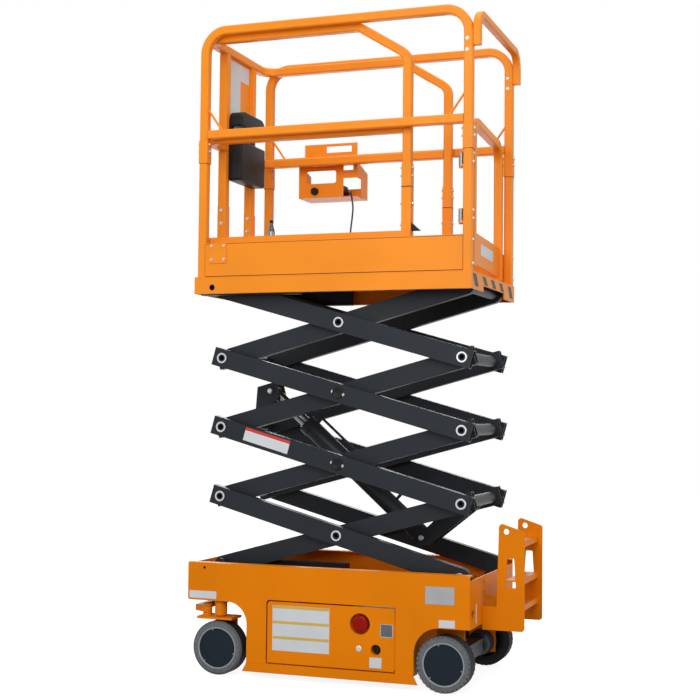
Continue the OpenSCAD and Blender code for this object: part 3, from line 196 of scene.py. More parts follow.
def relief(tree, surface, height, strength, soft_edge=0.0):
    """Bump from a height value, over edges rounded by soft_edge metres."""
    node = tree.nodes.new("ShaderNodeBump")
    node.inputs["Strength"].default_value = strength
    node.inputs["Distance"].default_value = MM
    tree.links.new(height, node.inputs["Height"])
    if soft_edge:
        edge = tree.nodes.new("ShaderNodeBevel")
        edge.samples = EDGE_SAMPLES
        edge.inputs["Radius"].default_value = soft_edge
        tree.links.new(edge.outputs["Normal"], node.inputs["Normal"])
    tree.links.new(node.outputs["Normal"], surface.inputs["Normal"])


def tint(colour, share):
    """The colour made darker or lighter by a share of itself."""
    return tuple(c * share for c in colour)


print("shader helpers ready")

# %% [markdown]
# ## Paint and mouldings
#
# Sprayed paint has a slow change of tone, a fine orange-peel bump and a thin clear coat. Plastic
# and rubber come from a mould with a fine grain. Sheet metal has no sharp edges, so a bevel normal
# softens them in the shader: that costs no faces, and the CAD meshes stay as they are.

# %% Paint and mouldings
PAINT_TONES, PAINT_PEEL, PEEL_DETAIL = 2.2, 420, 1.5
PEEL_SMOOTHER, PEEL_ROUGHER, COAT_ROUGH = 0.04, 0.06, 0.2
MOULD_TONES, GRAIN_DETAIL = 9, 2
PAINT_EDGE, MOULD_EDGE = 1.6 * MM, 1.2 * MM


def paint(name, colour, rough, coat, sheen, peel=0.05, tone=0.90):
    """Sprayed paint: slow tone, orange peel, a thin clear coat and soft edges."""
    material, tree, surface, coords = shader(name, rough)
    surface.inputs["Specular IOR Level"].default_value = sheen
    slow = spread(tree, noise(tree, coords, PAINT_TONES), *MID_NOISE, 0, 1)
    base = two_tone(tree, slow, tint(colour, tone), colour)
    tree.links.new(base, surface.inputs["Base Color"])
    grain = noise(tree, coords, PAINT_PEEL, PEEL_DETAIL)
    gloss = spread(tree, grain, *WIDE_NOISE, rough - PEEL_SMOOTHER, rough + PEEL_ROUGHER)
    tree.links.new(gloss, surface.inputs["Roughness"])
    surface.inputs["Coat Weight"].default_value = coat
    surface.inputs["Coat Roughness"].default_value = COAT_ROUGH
    relief(tree, surface, grain, peel, PAINT_EDGE)
    return material


def moulded(name, colour, rough, grain_scale=700, strength=0.12, tone=0.8, sheen=0.4):
    """Moulded plastic or rubber with a fine grain."""
    material, tree, surface, coords = shader(name, rough)
    surface.inputs["Specular IOR Level"].default_value = sheen
    slow = spread(tree, noise(tree, coords, MOULD_TONES), *MID_NOISE, 0, 1)
    base = two_tone(tree, slow, tint(colour, tone), colour)
    tree.links.new(base, surface.inputs["Base Color"])
    relief(tree, surface, noise(tree, coords, grain_scale, GRAIN_DETAIL), strength, MOULD_EDGE)
    return material


print("paint and mouldings ready")

# %% [markdown]
# ## Tyres and metal
#
# The tyres are grey rubber with dust on the sides that look outward. Only those sides keep the pale
# grey; the tread and the inner sides are painted dark, as painted shade. Two materials would split
# the mesh, so one material reads which way each face looks. Plated metal gets faint brushing, from
# noise that is stretched along one axis.

# %% Tyres and metal
TYRE_ROUGH, TYRE_SHEEN, TYRE_GRAIN, TYRE_RELIEF = 0.85, 0.25, 500, 0.3
LIT_FACING, DUST_SCALE, DUST_DETAIL = (0.35, 0.95), 60, 4
DUST_NOISE, DUST_COVER = (0.3, 0.6), (0.75, 1)
BRUSHED, EVEN = (60, 60, 900), (300, 300, 300)
METAL_DARK, METAL_ROUGHER, METAL_RELIEF = 0.85, 0.1, 0.03


def tyre_rubber(name, side, tread):
    """Rubber, pale on the sides that look away from the machine, with painted shade elsewhere."""
    material, tree, surface, coords = shader(name, TYRE_ROUGH)
    surface.inputs["Specular IOR Level"].default_value = TYRE_SHEEN
    normal = tree.nodes.new("ShaderNodeTexCoord").outputs["Normal"]
    left = spread(tree, part_of(tree, coords, "Y"), MIDDLE - MM, MIDDLE + MM, -1, 1)
    outward = combine(tree, "MULTIPLY", part_of(tree, normal, "Y"), left)
    dust = spread(tree, noise(tree, coords, DUST_SCALE, DUST_DETAIL), *DUST_NOISE, *DUST_COVER)
    # Faces that look outward get the pale colour; all others get the dark one, as painted shade.
    share = combine(tree, "MULTIPLY", spread(tree, outward, *LIT_FACING, 0, 1), dust)
    tree.links.new(two_tone(tree, share, tread, side), surface.inputs["Base Color"])
    grain = noise(tree, coords, TYRE_GRAIN, GRAIN_DETAIL)
    relief(tree, surface, grain, TYRE_RELIEF, MOULD_EDGE)
    return material


def metal(name, colour, rough, brush):
    """Bare or plated metal with faint brushing along one axis."""
    material, tree, surface, coords = shader(name, rough, 1.0)
    stretch = tree.nodes.new("ShaderNodeMapping")
    stretch.inputs["Scale"].default_value = brush
    tree.links.new(coords, stretch.inputs["Vector"])
    lines = noise(tree, stretch.outputs["Vector"], 1.0, GRAIN_DETAIL)
    base = two_tone(tree, lines, tint(colour, METAL_DARK), colour)
    tree.links.new(base, surface.inputs["Base Color"])
    gloss = spread(tree, lines, *WIDE_NOISE, rough, rough + METAL_ROUGHER)
    tree.links.new(gloss, surface.inputs["Roughness"])
    relief(tree, surface, lines, METAL_RELIEF)
    return material


print("tyre rubber and metal ready")

# %% [markdown]
# ## Finishes
#
# The machine is sprayed in one orange. Its copy on the sheet-metal platform is made warmer and
# lighter: painted light, as the paint is the same. The arms are a blue-tinged charcoal. The wheels
# are non-marking solid rubber in grey round a navy disc. Each CAD node takes the finish of its
# material slot, which the record holds.

# %% Finishes
ORANGE = (0.79, 0.216, 0.002)
# The platform's orange is the same paint, made lighter as painted light on the platform.
PLATFORM_ORANGE_LIT = (0.86, 0.262, 0.011)
CHARCOAL = (0.017, 0.0205, 0.026)
NAVY = (0.010, 0.016, 0.025)
# The rod's chrome is made dark as painted shade, for a rod that stands in the arms' shadow.
ROD_IN_SHADE = (0.17, 0.177, 0.188)
BLACK, SHEATH = (0.010, 0.010, 0.011), (0.012, 0.012, 0.013)
STOP_RED = (0.34, 0.006, 0.002)
# The dark tread colour is painted shade, for the tread and the inner sides of the tyres.
SHADED_TREAD, GREY_RUBBER = (0.014, 0.015, 0.016), (0.135, 0.146, 0.155)

finish = {
    "orange": paint("chassis_orange", ORANGE, rough=0.42, coat=0.01, sheen=0.06),
    "orange_light": paint("platform_orange_lit", PLATFORM_ORANGE_LIT, rough=0.42, coat=0.03, sheen=0.17),
    "charcoal": paint("arm_charcoal", CHARCOAL, rough=0.42, coat=0.02, sheen=0.15, peel=0.08,
                      tone=0.8),
    "disc": paint("wheel_navy", NAVY, rough=0.5, coat=0.0, sheen=0.11, peel=0.08, tone=0.85),
    "chrome": metal("rod_chrome_in_shade", ROD_IN_SHADE, rough=0.2, brush=BRUSHED),
    "black_plastic": moulded("moulded_black", BLACK, rough=0.45, sheen=0.14),
    "red_plastic": moulded("stop_red", STOP_RED, rough=0.3, strength=0.03, sheen=0.08),
    "black_rubber": moulded("cable_sheath", SHEATH, rough=0.55),
    "tyre": tyre_rubber("tyre_grey", GREY_RUBBER, SHADED_TREAD),
}
slots = {part["node"]: part["material_slot"] for part in frame["record"]["subparts"]}
for name, piece in nodes.items():
    piece.data.materials.clear()
    piece.data.materials.append(finish[slots[name]])
print("finishes on", len(slots), "nodes:", sorted(set(slots.values())))

# %% [markdown]
# ## Finishes of small pieces
#
# Bolts and rings are zinc plated, stickers are a smooth printed film, and a seam is a line of
# shadow between two sheets. They belong to pieces that only this script makes.

# %% Finishes of small pieces
FILM_GRAIN, FILM_RELIEF = 200, 0.02


def film(name, colour, rough, tone):
    """A printed sheet: a smooth film with hardly any grain."""
    return moulded(name, colour, rough, FILM_GRAIN, FILM_RELIEF, tone)


zinc = metal("zinc_plate", (0.50, 0.50, 0.485), rough=0.32, brush=EVEN)
hinge_metal = metal("hinge_metal", (0.20, 0.21, 0.225), rough=0.34, brush=EVEN)
steel_ring = metal("pin_ring", (0.52, 0.53, 0.55), rough=0.28, brush=EVEN)
label_white = film("label_white", (0.60, 0.63, 0.66), rough=0.45, tone=0.94)
label_band = film("label_yellow", (0.62, 0.40, 0.05), rough=0.45, tone=0.92)
label_red = film("label_red", (0.55, 0.03, 0.02), rough=0.45, tone=0.92)
label_silver = moulded("label_silver", (0.42, 0.43, 0.44), rough=0.4, grain_scale=260,
                       strength=0.05, tone=0.85)
stripe_dark = film("stripe_dark", (0.016, 0.017, 0.020), rough=0.5, tone=0.85)
# The yellow of the stripe rims is a painted highlight: the glint along the stripes' edges.
stripe_painted_glint = film("stripe_painted_glint", (0.70, 0.42, 0.03), rough=0.5, tone=0.9)
grille = film("grey_screen", (0.10, 0.11, 0.12), rough=0.25, tone=0.7)
seam = moulded("seam_shadow", (0.055, 0.012, 0.002), rough=0.7, grain_scale=300, strength=0.02)
bead = moulded("bead_grey", (0.30, 0.315, 0.33), rough=0.6, grain_scale=400, strength=0.15)
print("finishes of small pieces ready")

# %% [markdown]
# ## Control cable
#
# The cable leaves the gland of the control box, drops through the holder's cut-out and goes down
# into the deck between the two toe boards. It could be swept as a mesh, but a curve with a round
# bevel does that by itself: a smooth line through a few points stands for the CAD tube.

# %% Control cable
CABLE_D = 8 * MM
CABLE_STEPS, CABLE_ROUND = 6, 4
GLAND = (299.9, -450, 480.1)
UPPER_RUN = ((0, 0, 0), (-8, 0, 0), (-18, 10, 1), (-28, 36, 0), (-38, 64, -8), (-47, 84, -28),
             (-55, 94, -56), (-60, 98, -87))
LOWER_RUN = ((-57, 98, 350), (-51, 98, 300), (-45, 98, 240), (-41, 98, 180), (-39, 98, 120),
             (-38, 98, 60), (-38, 98, 0.1))
cable_points = [on_deck(GLAND[0] + x, GLAND[1] + y, GLAND[2] + z) for x, y, z in UPPER_RUN]
cable_points += [on_deck(GLAND[0] + x, GLAND[1] + y, z) for x, y, z in LOWER_RUN]


def smooth_line(points, steps):
    """Catmull-Rom line through the points."""
    ends = [2 * points[0] - points[1]] + points + [2 * points[-1] - points[-2]]
    line = []
    for a, b, c, d in zip(ends, ends[1:], ends[2:], ends[3:]):
        for i in range(steps):
            t = i / steps
            line.append(0.5 * (2 * b + (c - a) * t + (2 * a - 5 * b + 4 * c - d) * t * t
                               + (3 * b - a - 3 * c + d) * t ** 3))
    return line + [points[-1]]


cable_line = smooth_line(cable_points, CABLE_STEPS)
cable_curve = bpy.data.curves.new("control_cable", "CURVE")
cable_curve.dimensions = "3D"
cable_curve.bevel_depth = CABLE_D / 2
cable_curve.bevel_resolution = CABLE_ROUND
cable_curve.use_fill_caps = True
spline = cable_curve.splines.new("POLY")
spline.points.add(len(cable_line) - 1)
for point, place in zip(spline.points, cable_line):
    point.co = (*place, 1)
cable = bpy.data.objects.new("control_cable", cable_curve)
cable.data.materials.append(finish["black_rubber"])
bpy.context.scene.collection.objects.link(cable)
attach(cable, "platform")
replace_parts(cable, "cable")

# %% [markdown]
# ## Pieces
#
# Small flat or turned pieces are plain meshes. One object for each sticker would fill the outliner,
# so a builder collects the blocks, discs and turned shapes of one finish on one body in one mesh.
# Turned shapes are profiles of radius and rise in millimetres, as on a lathe drawing.

# %% Piece builder
SHARP = math.radians(35)
LEFT, REAR = Vector((0, 1, 0)), Vector((-1, 0, 0))


class Pieces:
    """Collects simple solids in one mesh that rides one body."""

    def __init__(self, name, body, material, slot):
        self.name, self.body, self.material, self.slot = name, body, material, slot
        self.mesh = bmesh.new()

    def block(self, low, high):
        """A box between two corners."""
        low, high = Vector(low), Vector(high)
        place = Matrix.Translation((low + high) / 2) @ Matrix.Diagonal((*(high - low), 1))
        bmesh.ops.create_cube(self.mesh, size=1, matrix=place)

    def disc(self, centre, axis, radius, height, sides=40):
        """A round plate that rises from centre along axis."""
        turn = Vector(axis).to_track_quat("Z", "Y").to_matrix().to_4x4()
        middle = Vector(centre) + Vector(axis).normalized() * height * MM / 2
        bmesh.ops.create_cone(self.mesh, cap_ends=True, segments=sides, radius1=radius * MM,
                              radius2=radius * MM, depth=height * MM,
                              matrix=Matrix.Translation(middle) @ turn)

    def turned(self, centre, axis, profile, sides=48):
        """A closed profile of radius and rise, turned about the axis."""
        turn = Vector(axis).to_track_quat("Z", "Y").to_matrix()
        spins = [2 * math.pi * k / sides for k in range(sides)]
        loops = []
        for radius, rise in profile:
            r, lift = radius * MM, rise * MM
            rim = [Vector((r * math.cos(spin), r * math.sin(spin), lift)) for spin in spins]
            loops.append([self.mesh.verts.new(Vector(centre) + turn @ spot) for spot in rim])
        for a, b in zip(loops, loops[1:] + loops[:1]):
            for k in range(sides):
                m = (k + 1) % sides
                self.mesh.faces.new((a[k], a[m], b[m], b[k]))

    def slab(self, corners, push):
        """A flat polygon given a thickness along the vector push."""
        first = [self.mesh.verts.new(Vector(c)) for c in corners]
        second = [self.mesh.verts.new(Vector(c) + Vector(push)) for c in corners]
        self.mesh.faces.new(first)
        self.mesh.faces.new(list(reversed(second)))
        for k in range(len(first)):
            m = (k + 1) % len(first)
            self.mesh.faces.new((first[m], first[k], second[k], second[m]))

    def done(self, smooth=False):
        """Makes the mesh an object on its body."""
        bmesh.ops.recalc_face_normals(self.mesh, faces=self.mesh.faces)
        data = bpy.data.meshes.new(self.name)
        self.mesh.to_mesh(data)
        self.mesh.free()
        data.materials.append(self.material)
        if smooth:
            data.shade_smooth()
            data.set_sharp_from_angle(angle=SHARP)
        piece = bpy.data.objects.new(self.name, data)
        bpy.context.scene.collection.objects.link(piece)
        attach(piece, self.body)
        print(self.name, "on", self.body, len(data.polygons), "faces")
        return piece


def outward(side):
    """The direction away from the middle plane on one side."""
    return Vector((0, side, 0))


print("piece builder ready")

# %% [markdown]
# ## Repeats
#
# Bolts, tyre lugs and tread bars are one pattern each, set out by a Geometry Nodes tree. The points
# carry their turn and size as attributes, so one tree serves every body. A tree scatters hundreds
# of copies at once and keeps the sizes in one place, which copied objects would not.

# %% Repeat tree
RANDOM_MAX, RANDOM_FLOAT = 3, 1


def repeat_tree():
    """A tree that puts the piece on every point, by the attributes turn and size."""
    tree = bpy.data.node_groups.new("repeat_pieces", "GeometryNodeTree")
    tree.interface.new_socket("Points", in_out="INPUT", socket_type="NodeSocketGeometry")
    kinds = {"Piece": "Object", "Finish": "Material", "Spin": "Float", "Seed": "Int"}
    sockets = [tree.interface.new_socket(name, in_out="INPUT", socket_type="NodeSocket" + kind)
               for name, kind in kinds.items()]
    tree.interface.new_socket("Result", in_out="OUTPUT", socket_type="NodeSocketGeometry")
    group_in = tree.nodes.new("NodeGroupInput")
    group_out = tree.nodes.new("NodeGroupOutput")
    source = tree.nodes.new("GeometryNodeObjectInfo")
    placing = tree.nodes.new("GeometryNodeInstanceOnPoints")
    real = tree.nodes.new("GeometryNodeRealizeInstances")
    coating = tree.nodes.new("GeometryNodeSetMaterial")
    turning = tree.nodes.new("GeometryNodeRotateInstances")
    chance = tree.nodes.new("FunctionNodeRandomValue")
    chance.data_type = "FLOAT"
    around = tree.nodes.new("ShaderNodeCombineXYZ")
    carried = {}
    for name in ("turn", "size"):
        carried[name] = tree.nodes.new("GeometryNodeInputNamedAttribute")
        carried[name].data_type = "FLOAT_VECTOR"
        carried[name].inputs["Name"].default_value = name
    link = tree.links.new
    link(group_in.outputs["Points"], placing.inputs["Points"])
    link(group_in.outputs["Piece"], source.inputs["Object"])
    link(source.outputs["Geometry"], placing.inputs["Instance"])
    link(carried["turn"].outputs["Attribute"], placing.inputs["Rotation"])
    link(carried["size"].outputs["Attribute"], placing.inputs["Scale"])
    link(placing.outputs["Instances"], turning.inputs["Instances"])
    link(group_in.outputs["Spin"], chance.inputs[RANDOM_MAX])
    link(group_in.outputs["Seed"], chance.inputs["Seed"])
    link(chance.outputs[RANDOM_FLOAT], around.inputs["Z"])
    link(around.outputs["Vector"], turning.inputs["Rotation"])
    link(turning.outputs["Instances"], real.inputs["Geometry"])
    link(real.outputs["Geometry"], coating.inputs["Geometry"])
    link(group_in.outputs["Finish"], coating.inputs["Material"])
    link(coating.outputs["Geometry"], group_out.inputs["Result"])
    return tree, [socket.identifier for socket in sockets]


REPEAT, (PIECE_INPUT, FINISH_INPUT, SPIN_INPUT, SEED_INPUT) = repeat_tree()
print("repeat tree with", len(REPEAT.nodes), "nodes")

# %% [markdown]
# ## Set out a pattern
#
# A mesh of bare points carries the tree as a modifier. The evaluated result becomes a plain mesh,
# one for each body, because an export drops instances and a live modifier would be run again.

# %% Set out a pattern
SEED = 7
PATTERN_SHARP = math.radians(40)


def repeat(name, body, prototype, material, places, spin=0.0):
    """Sets a prototype out at places: a position, an Euler turn and a size, spun by chance."""
    data = bpy.data.meshes.new(name + "_points")
    data.from_pydata([place for place, _, _ in places], [], [])
    for attribute, column in (("turn", 1), ("size", 2)):
        values = [c for row in places for c in row[column]]
        carried = data.attributes.new(attribute, "FLOAT_VECTOR", "POINT")
        carried.data.foreach_set("vector", values)
    carrier = bpy.data.objects.new(name, data)
    bpy.context.scene.collection.objects.link(carrier)
    modifier = carrier.modifiers.new("repeat", "NODES")
    modifier.node_group = REPEAT
    modifier[PIECE_INPUT] = prototype
    modifier[FINISH_INPUT] = material
    modifier[SPIN_INPUT] = spin
    modifier[SEED_INPUT] = SEED
    graph = bpy.context.evaluated_depsgraph_get()
    made = bpy.data.meshes.new_from_object(carrier.evaluated_get(graph), depsgraph=graph)
    carrier.modifiers.remove(modifier)
    carrier.data = made
    made.name = name
    bpy.data.meshes.remove(data)
    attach(carrier, body)
    print(name, "on", body, "-", len(places), "pieces,", len(made.polygons), "faces")


def prototype(name, build):
    """A mesh object that only serves as the pattern of a repeat."""
    mesh = bmesh.new()
    build(mesh)
    bmesh.ops.recalc_face_normals(mesh, faces=mesh.faces)
    data = bpy.data.meshes.new(name)
    mesh.to_mesh(data)
    mesh.free()
    data.shade_smooth()
    data.set_sharp_from_angle(angle=PATTERN_SHARP)
    pattern = bpy.data.objects.new(name, data)
    bpy.context.scene.collection.objects.link(pattern)
    return pattern


print("repeats take the seed", SEED)

# %% [markdown]
# ## Bolt and nut patterns
#
# A bolt head is a washer with a hexagon on it; on the far side a lock nut shows with the end of the
# bolt. They are lofted through a few rings of unit radius, some round and some hexagonal, so that a
# size scales them to any thread and each has only a few dozen faces.

# %% Bolt and nut patterns
RIM_SIDES = 12
HEX_SPIN = math.pi / 3
WASHER = ((1.0, 0, False), (1.0, 0.15, False), (0.94, 0.2, False))
HEAD = ((0.8, 0.2, True), (0.8, 0.68, True), (0.68, 0.78, False))
LOCK_NUT = ((0.8, 0.2, True), (0.8, 0.6, True), (0.66, 0.7, False), (0.62, 0.84, False))
BOLT_END = ((0.42, 0.84, False), (0.42, 1.1, False), (0.34, 1.18, False))


def lofted(mesh, rings):
    """A solid of unit radius through rings of radius, rise and whether the ring is a hexagon."""
    loops = []
    for radius, rise, hexagon in rings:
        loop = []
        for k in range(RIM_SIDES):
            spin = 2 * math.pi * k / RIM_SIDES
            off = spin % HEX_SPIN - HEX_SPIN / 2
            r = radius * math.cos(HEX_SPIN / 2) / math.cos(off) if hexagon else radius
            loop.append(mesh.verts.new((r * math.cos(spin), r * math.sin(spin), rise)))
        loops.append(loop)
    for a, b in zip(loops, loops[1:]):
        for k in range(RIM_SIDES):
            m = (k + 1) % RIM_SIDES
            mesh.faces.new((a[k], a[m], b[m], b[k]))
    mesh.faces.new(list(reversed(loops[0])))
    mesh.faces.new(loops[-1])


def build_bolt(mesh):
    """Washer and hexagon head."""
    lofted(mesh, WASHER + HEAD)


def build_nut(mesh):
    """Washer, lock nut and the end of the bolt."""
    lofted(mesh, WASHER + LOCK_NUT + BOLT_END)


def facing(place, axis, radius):
    """A bolt's place, turn and size from where it looks."""
    turn = Vector(axis).to_track_quat("Z", "Y").to_euler()
    return tuple(place), tuple(turn), (radius * MM,) * 3


bolt = prototype("bolt_pattern", build_bolt)
nut = prototype("nut_pattern", build_nut)
print("bolt of", len(bolt.data.polygons), "faces, nut of", len(nut.data.polygons))

# %% [markdown]
# ## Posts
#
# The rails are bolted through their sleeves, so a head shows on one face of a post and a nut on the
# other. The middle lines of the posts come from the boxes of the rails, not from typed places, so
# the bolts follow the rails.

# %% Posts
SLEEVE, RAIL_HALF = 21, 19
rail_low, rail_high = box("main_rail_right")
inner_low = box("extension_side_right")[0]
panel_low, panel_high = box("front_panel")
POST_FRONT, POST_REAR = rail_high.x / MM - SLEEVE, rail_low.x / MM + SLEEVE
RAIL_Y = (MIDDLE - rail_low.y) / MM - RAIL_HALF
INNER_POST, INNER_FRONT = inner_low.x / MM + SLEEVE, (panel_low.x + panel_high.x) / 2 / MM
INNER_Y = (MIDDLE - inner_low.y) / MM - RAIL_HALF
FRONT_POST_Y = (panel_high.y - MIDDLE) / MM + RAIL_HALF
print("posts at x =", [round(x) for x in (POST_REAR, INNER_POST, POST_FRONT, INNER_FRONT)], "mm")

# %% [markdown]
# ## Bolt places
#
# The braces, the feet of the rear posts, the joint plates, the hinge leaves, the ladder and the
# eyes of the cylinder are bolted on too. Bolts could be set by hand in the viewport, but a list of
# heights for each joint is quicker to check. Heads and nuts are gathered by body.

# %% Bolt places
SLEEVE_RISES, SLEEVE_BOLT = (557, 588), 9
BRACE_RISES, BRACE_IN, BRACE_BOLT = (910, 957), 3, 8
FOOT_RISES, FOOT_BOLT = (30, 128), 7.5
JOINT_X, JOINT_RISES, JOINT_BOLT, PLATE_LIFT = (571, 630), (75, 135), 6.5, 3
INNER_RISES = (204, 294, 412, 446)
FRONT_RISES, FRONT_BOLT = (266, 325), 8
HINGE_LOWS, LEAF_RISES, LEAF_BOLT = (199, 433), (16, 50), 7
LADDER_Z, LADDER_Y, LADDER_BOLT = (345, 392, 436), (-150, 150), 7
EYE_R, CHEEK_OUT, EYE_BOLT = 30, 48, 12
bolts, nuts = {}, {}


def head(body, place, way, radius):
    """A bolt head alone."""
    bolts.setdefault(body, []).append(facing(place, way, radius))


def through(body, place, way, half, radius):
    """A bolt head on one face and its nut on the other, half a thickness to each side."""
    head(body, place + way * half * MM, way, radius)
    nuts.setdefault(body, []).append(facing(place - way * half * MM, -way, radius))


for side in BOTH_SIDES:
    for post in (POST_FRONT, POST_REAR):
        for rise in SLEEVE_RISES:
            through("platform", on_deck(post, side * RAIL_Y, rise), REAR, SLEEVE, SLEEVE_BOLT)
    for rise in BRACE_RISES:
        spot = on_deck(POST_REAR + BRACE_IN, side * RAIL_Y, rise)
        through("platform", spot, outward(side), RAIL_HALF, BRACE_BOLT)
    for rise in FOOT_RISES:
        head("platform", on_deck(POST_REAR - RAIL_HALF, side * RAIL_Y, rise), REAR, FOOT_BOLT)
    for x in JOINT_X:
        for rise in JOINT_RISES:
            spot = on_deck(x, side * (RAIL_Y + RAIL_HALF + PLATE_LIFT), rise)
            head("platform", spot, outward(side), JOINT_BOLT)
    for rise in INNER_RISES:
        through("extension", on_deck(INNER_POST, side * INNER_Y, rise), REAR, SLEEVE, SLEEVE_BOLT)
    for rise in FRONT_RISES:
        spot = on_deck(INNER_FRONT, side * FRONT_POST_Y, rise)
        through("extension", spot, outward(side), SLEEVE, FRONT_BOLT)
for low in HINGE_LOWS:
    for rise in LEAF_RISES:
        head("platform", on_deck(POST_REAR - RAIL_HALF, RAIL_Y, low + rise), REAR, LEAF_BOLT)
for z in LADDER_Z:
    for y in LADDER_Y:
        head("chassis", at(REAR_FACE, y, z), REAR, LADDER_BOLT)
rod_high = box("cylinder_rod")[1]
rod_eye = Vector((rod_high.x - EYE_R * MM, MIDDLE, rod_high.z - EYE_R * MM))
for body, middle in (("inner_arm_1_body", pivot["barrel_tilt"]), ("inner_arm_3_body", rod_eye)):
    through(body, middle, LEFT, CHEEK_OUT, EYE_BOLT)
print("bolts on", sorted(bolts))

# %% [markdown]
# ## Heads and nuts
#
# The ladder's bolts were sprayed over with the chassis, and all the others are bare zinc. Each head
# is turned by chance, as bolts that were tightened by hand are.

# %% Heads and nuts
for body, places in bolts.items():
    coat, slot = (finish["orange"], "orange") if body == "chassis" else (zinc, "chrome")
    repeat(body + "_bolts", body, bolt, coat, places, HEX_SPIN)
for body, places in nuts.items():
    repeat(body + "_nuts", body, nut, zinc, places, HEX_SPIN)

# %% [markdown]
# ## Arm pins
#
# Every arm pin ends in a bright ring round its bore. The centre pins of the two middle stages are
# closed by a dark cap that two keeper bolts hold. A ring is a profile that is turned about the pin:
# that gives it eased edges, which a plain cylinder would not have.

# %% Arm pins
RING_OUT, RING_IN, RING_RISE, RING_EASE, RING_LIP = 23, 15.6, 1.4, 1, 0.6
PIN_R, PIN_OUT, PIN_GAP = 18.3, 3, 0.2
CAP = ((25, 0), (25, 4.4), (23, 6), (17, 6), (15, 4.8), (0.2, 4.8), (0.2, 3.2), (PIN_R, 3.2),
       (PIN_R, 0))
CAPPED_STAGES, KEEPERS, KEEPER_BOLT = (2, 3), (-25, 25), 7
PIN_FACE = (box("outer_arm_2")[1].y - MIDDLE) / MM
ARM_FACE, BASE_LUG = PIN_FACE - PIN_OUT, 15
half_arm = pivot["cross_1"] - pivot["lift"]
ARM_L = 2 * half_arm.length / MM
ARM_LINE = half_arm.normalized()
ARM_UP = Vector((-ARM_LINE.z, 0, ARM_LINE.x))


def outer_point(stage, along, off, y):
    """A place on an outer arm, along it from its lower rear pin and off its middle line."""
    foot = pivot["lift"] if stage == 1 else pivot[f"link_{stage}"]
    return foot + (ARM_LINE * along + ARM_UP * off + Vector((0, y, 0))) * MM


def pin_ring(pieces, place, side):
    """A ring that stands on the arm and laps over the pin."""
    lap = PIN_OUT + PIN_GAP
    top = lap + RING_RISE
    pieces.turned(place, outward(side), (
        (RING_OUT, 0), (RING_OUT, top - RING_EASE), (RING_OUT - RING_EASE, top),
        (RING_IN + RING_EASE, top), (RING_IN, lap + RING_LIP), (RING_IN, lap), (PIN_R, lap),
        (PIN_R, 0)))


for stage in (1, 2, 3, 4):
    body = f"outer_arm_{stage}_body"
    rings = Pieces(f"pin_rings_{stage}", body, steel_ring, "chrome")
    capped = stage in CAPPED_STAGES
    spots = [0] * (stage > 1) + [ARM_L / 2] * (not capped) + [ARM_L] * (stage < 4)
    for side in BOTH_SIDES:
        for along in spots:
            pin_ring(rings, outer_point(stage, along, 0, side * ARM_FACE), side)
    rings.done(smooth=True)
    if capped:
        caps = Pieces(f"pin_caps_{stage}", body, finish["black_plastic"], "black_plastic")
        keepers = []
        for side in BOTH_SIDES:
            middle = outer_point(stage, ARM_L / 2, 0, side * ARM_FACE)
            caps.turned(middle, outward(side), CAP)
            for along in KEEPERS:
                spot = outer_point(stage, ARM_L / 2 + along, 0, side * ARM_FACE)
                keepers.append(facing(spot, outward(side), KEEPER_BOLT))
        caps.done(smooth=True)
        repeat(f"pin_keepers_{stage}", body, bolt, zinc, keepers, HEX_SPIN)
base_rings = Pieces("pin_rings_base", "chassis", steel_ring, "chrome")
for side in BOTH_SIDES:
    pin_ring(base_rings, pivot["lift"] + outward(side) * (ARM_FACE + BASE_LUG) * MM, side)
base_rings.done(smooth=True)

# %% [markdown]
# ## Plates on the chassis and the doors
#
# Stickers and plates are thin slabs on the paint. They could be painted on by the shader, but a
# slab has a real edge that catches the light. They are blank, in plain base colours and bands. A
# rectangle is given by its low and high corner, as x, z, x, z.

# %% Plates on the chassis and the doors
STICKER = 0.6
SIDE_Y = (box("chassis_side_left")[1].y - MIDDLE) / MM
DOOR_SHEETS = ((62, 124, 320, 314), (-169, 82, -116, 125))
BAND_TOPS, BAND_X, BAND_H, BAND_LIFT = (313, 249, 185), (64, 318), 11, 1.4
SIDE_LABELS = ((-480, 265, -412, 296), (584, 324, 712, 356))
PLATE = (-477, 357, -354, 429)
REAR_LABEL_Y, REAR_LABEL_Z = (268, 284), (275, 355)


def side_plates(name, body, material, rectangles, lift=STICKER):
    """Thin plates on the outside of the left side plate or door."""
    pieces = Pieces(name, body, material, None)
    for x0, z0, x1, z1 in rectangles:
        pieces.block(at(x0, SIDE_Y, z0), at(x1, SIDE_Y + lift, z1))
    pieces.done()


bands = [(BAND_X[0], top - BAND_H, BAND_X[1], top) for top in BAND_TOPS]
side_plates("door_sheet", "door_left_body", label_white, DOOR_SHEETS)
side_plates("door_bands", "door_left_body", label_band, bands, STICKER * BAND_LIFT)
side_plates("side_labels", "chassis", label_white, SIDE_LABELS)
side_plates("type_plate", "chassis", label_silver, (PLATE,))
rear_label = Pieces("rear_label", "chassis", label_white, None)
rear_label.block(at(REAR_FACE - STICKER, REAR_LABEL_Y[0], REAR_LABEL_Z[0]),
                 at(REAR_FACE, REAR_LABEL_Y[1], REAR_LABEL_Z[1]))
rear_label.done()

# %% [markdown]
# ## Plate on the arm and sheet on the front panel
#
# The arm's plate lies along a slanting arm, so its corners are measured along and across the arm.
# The panel's sheet has a stepped outline, taken from the panel's own box less a rim.

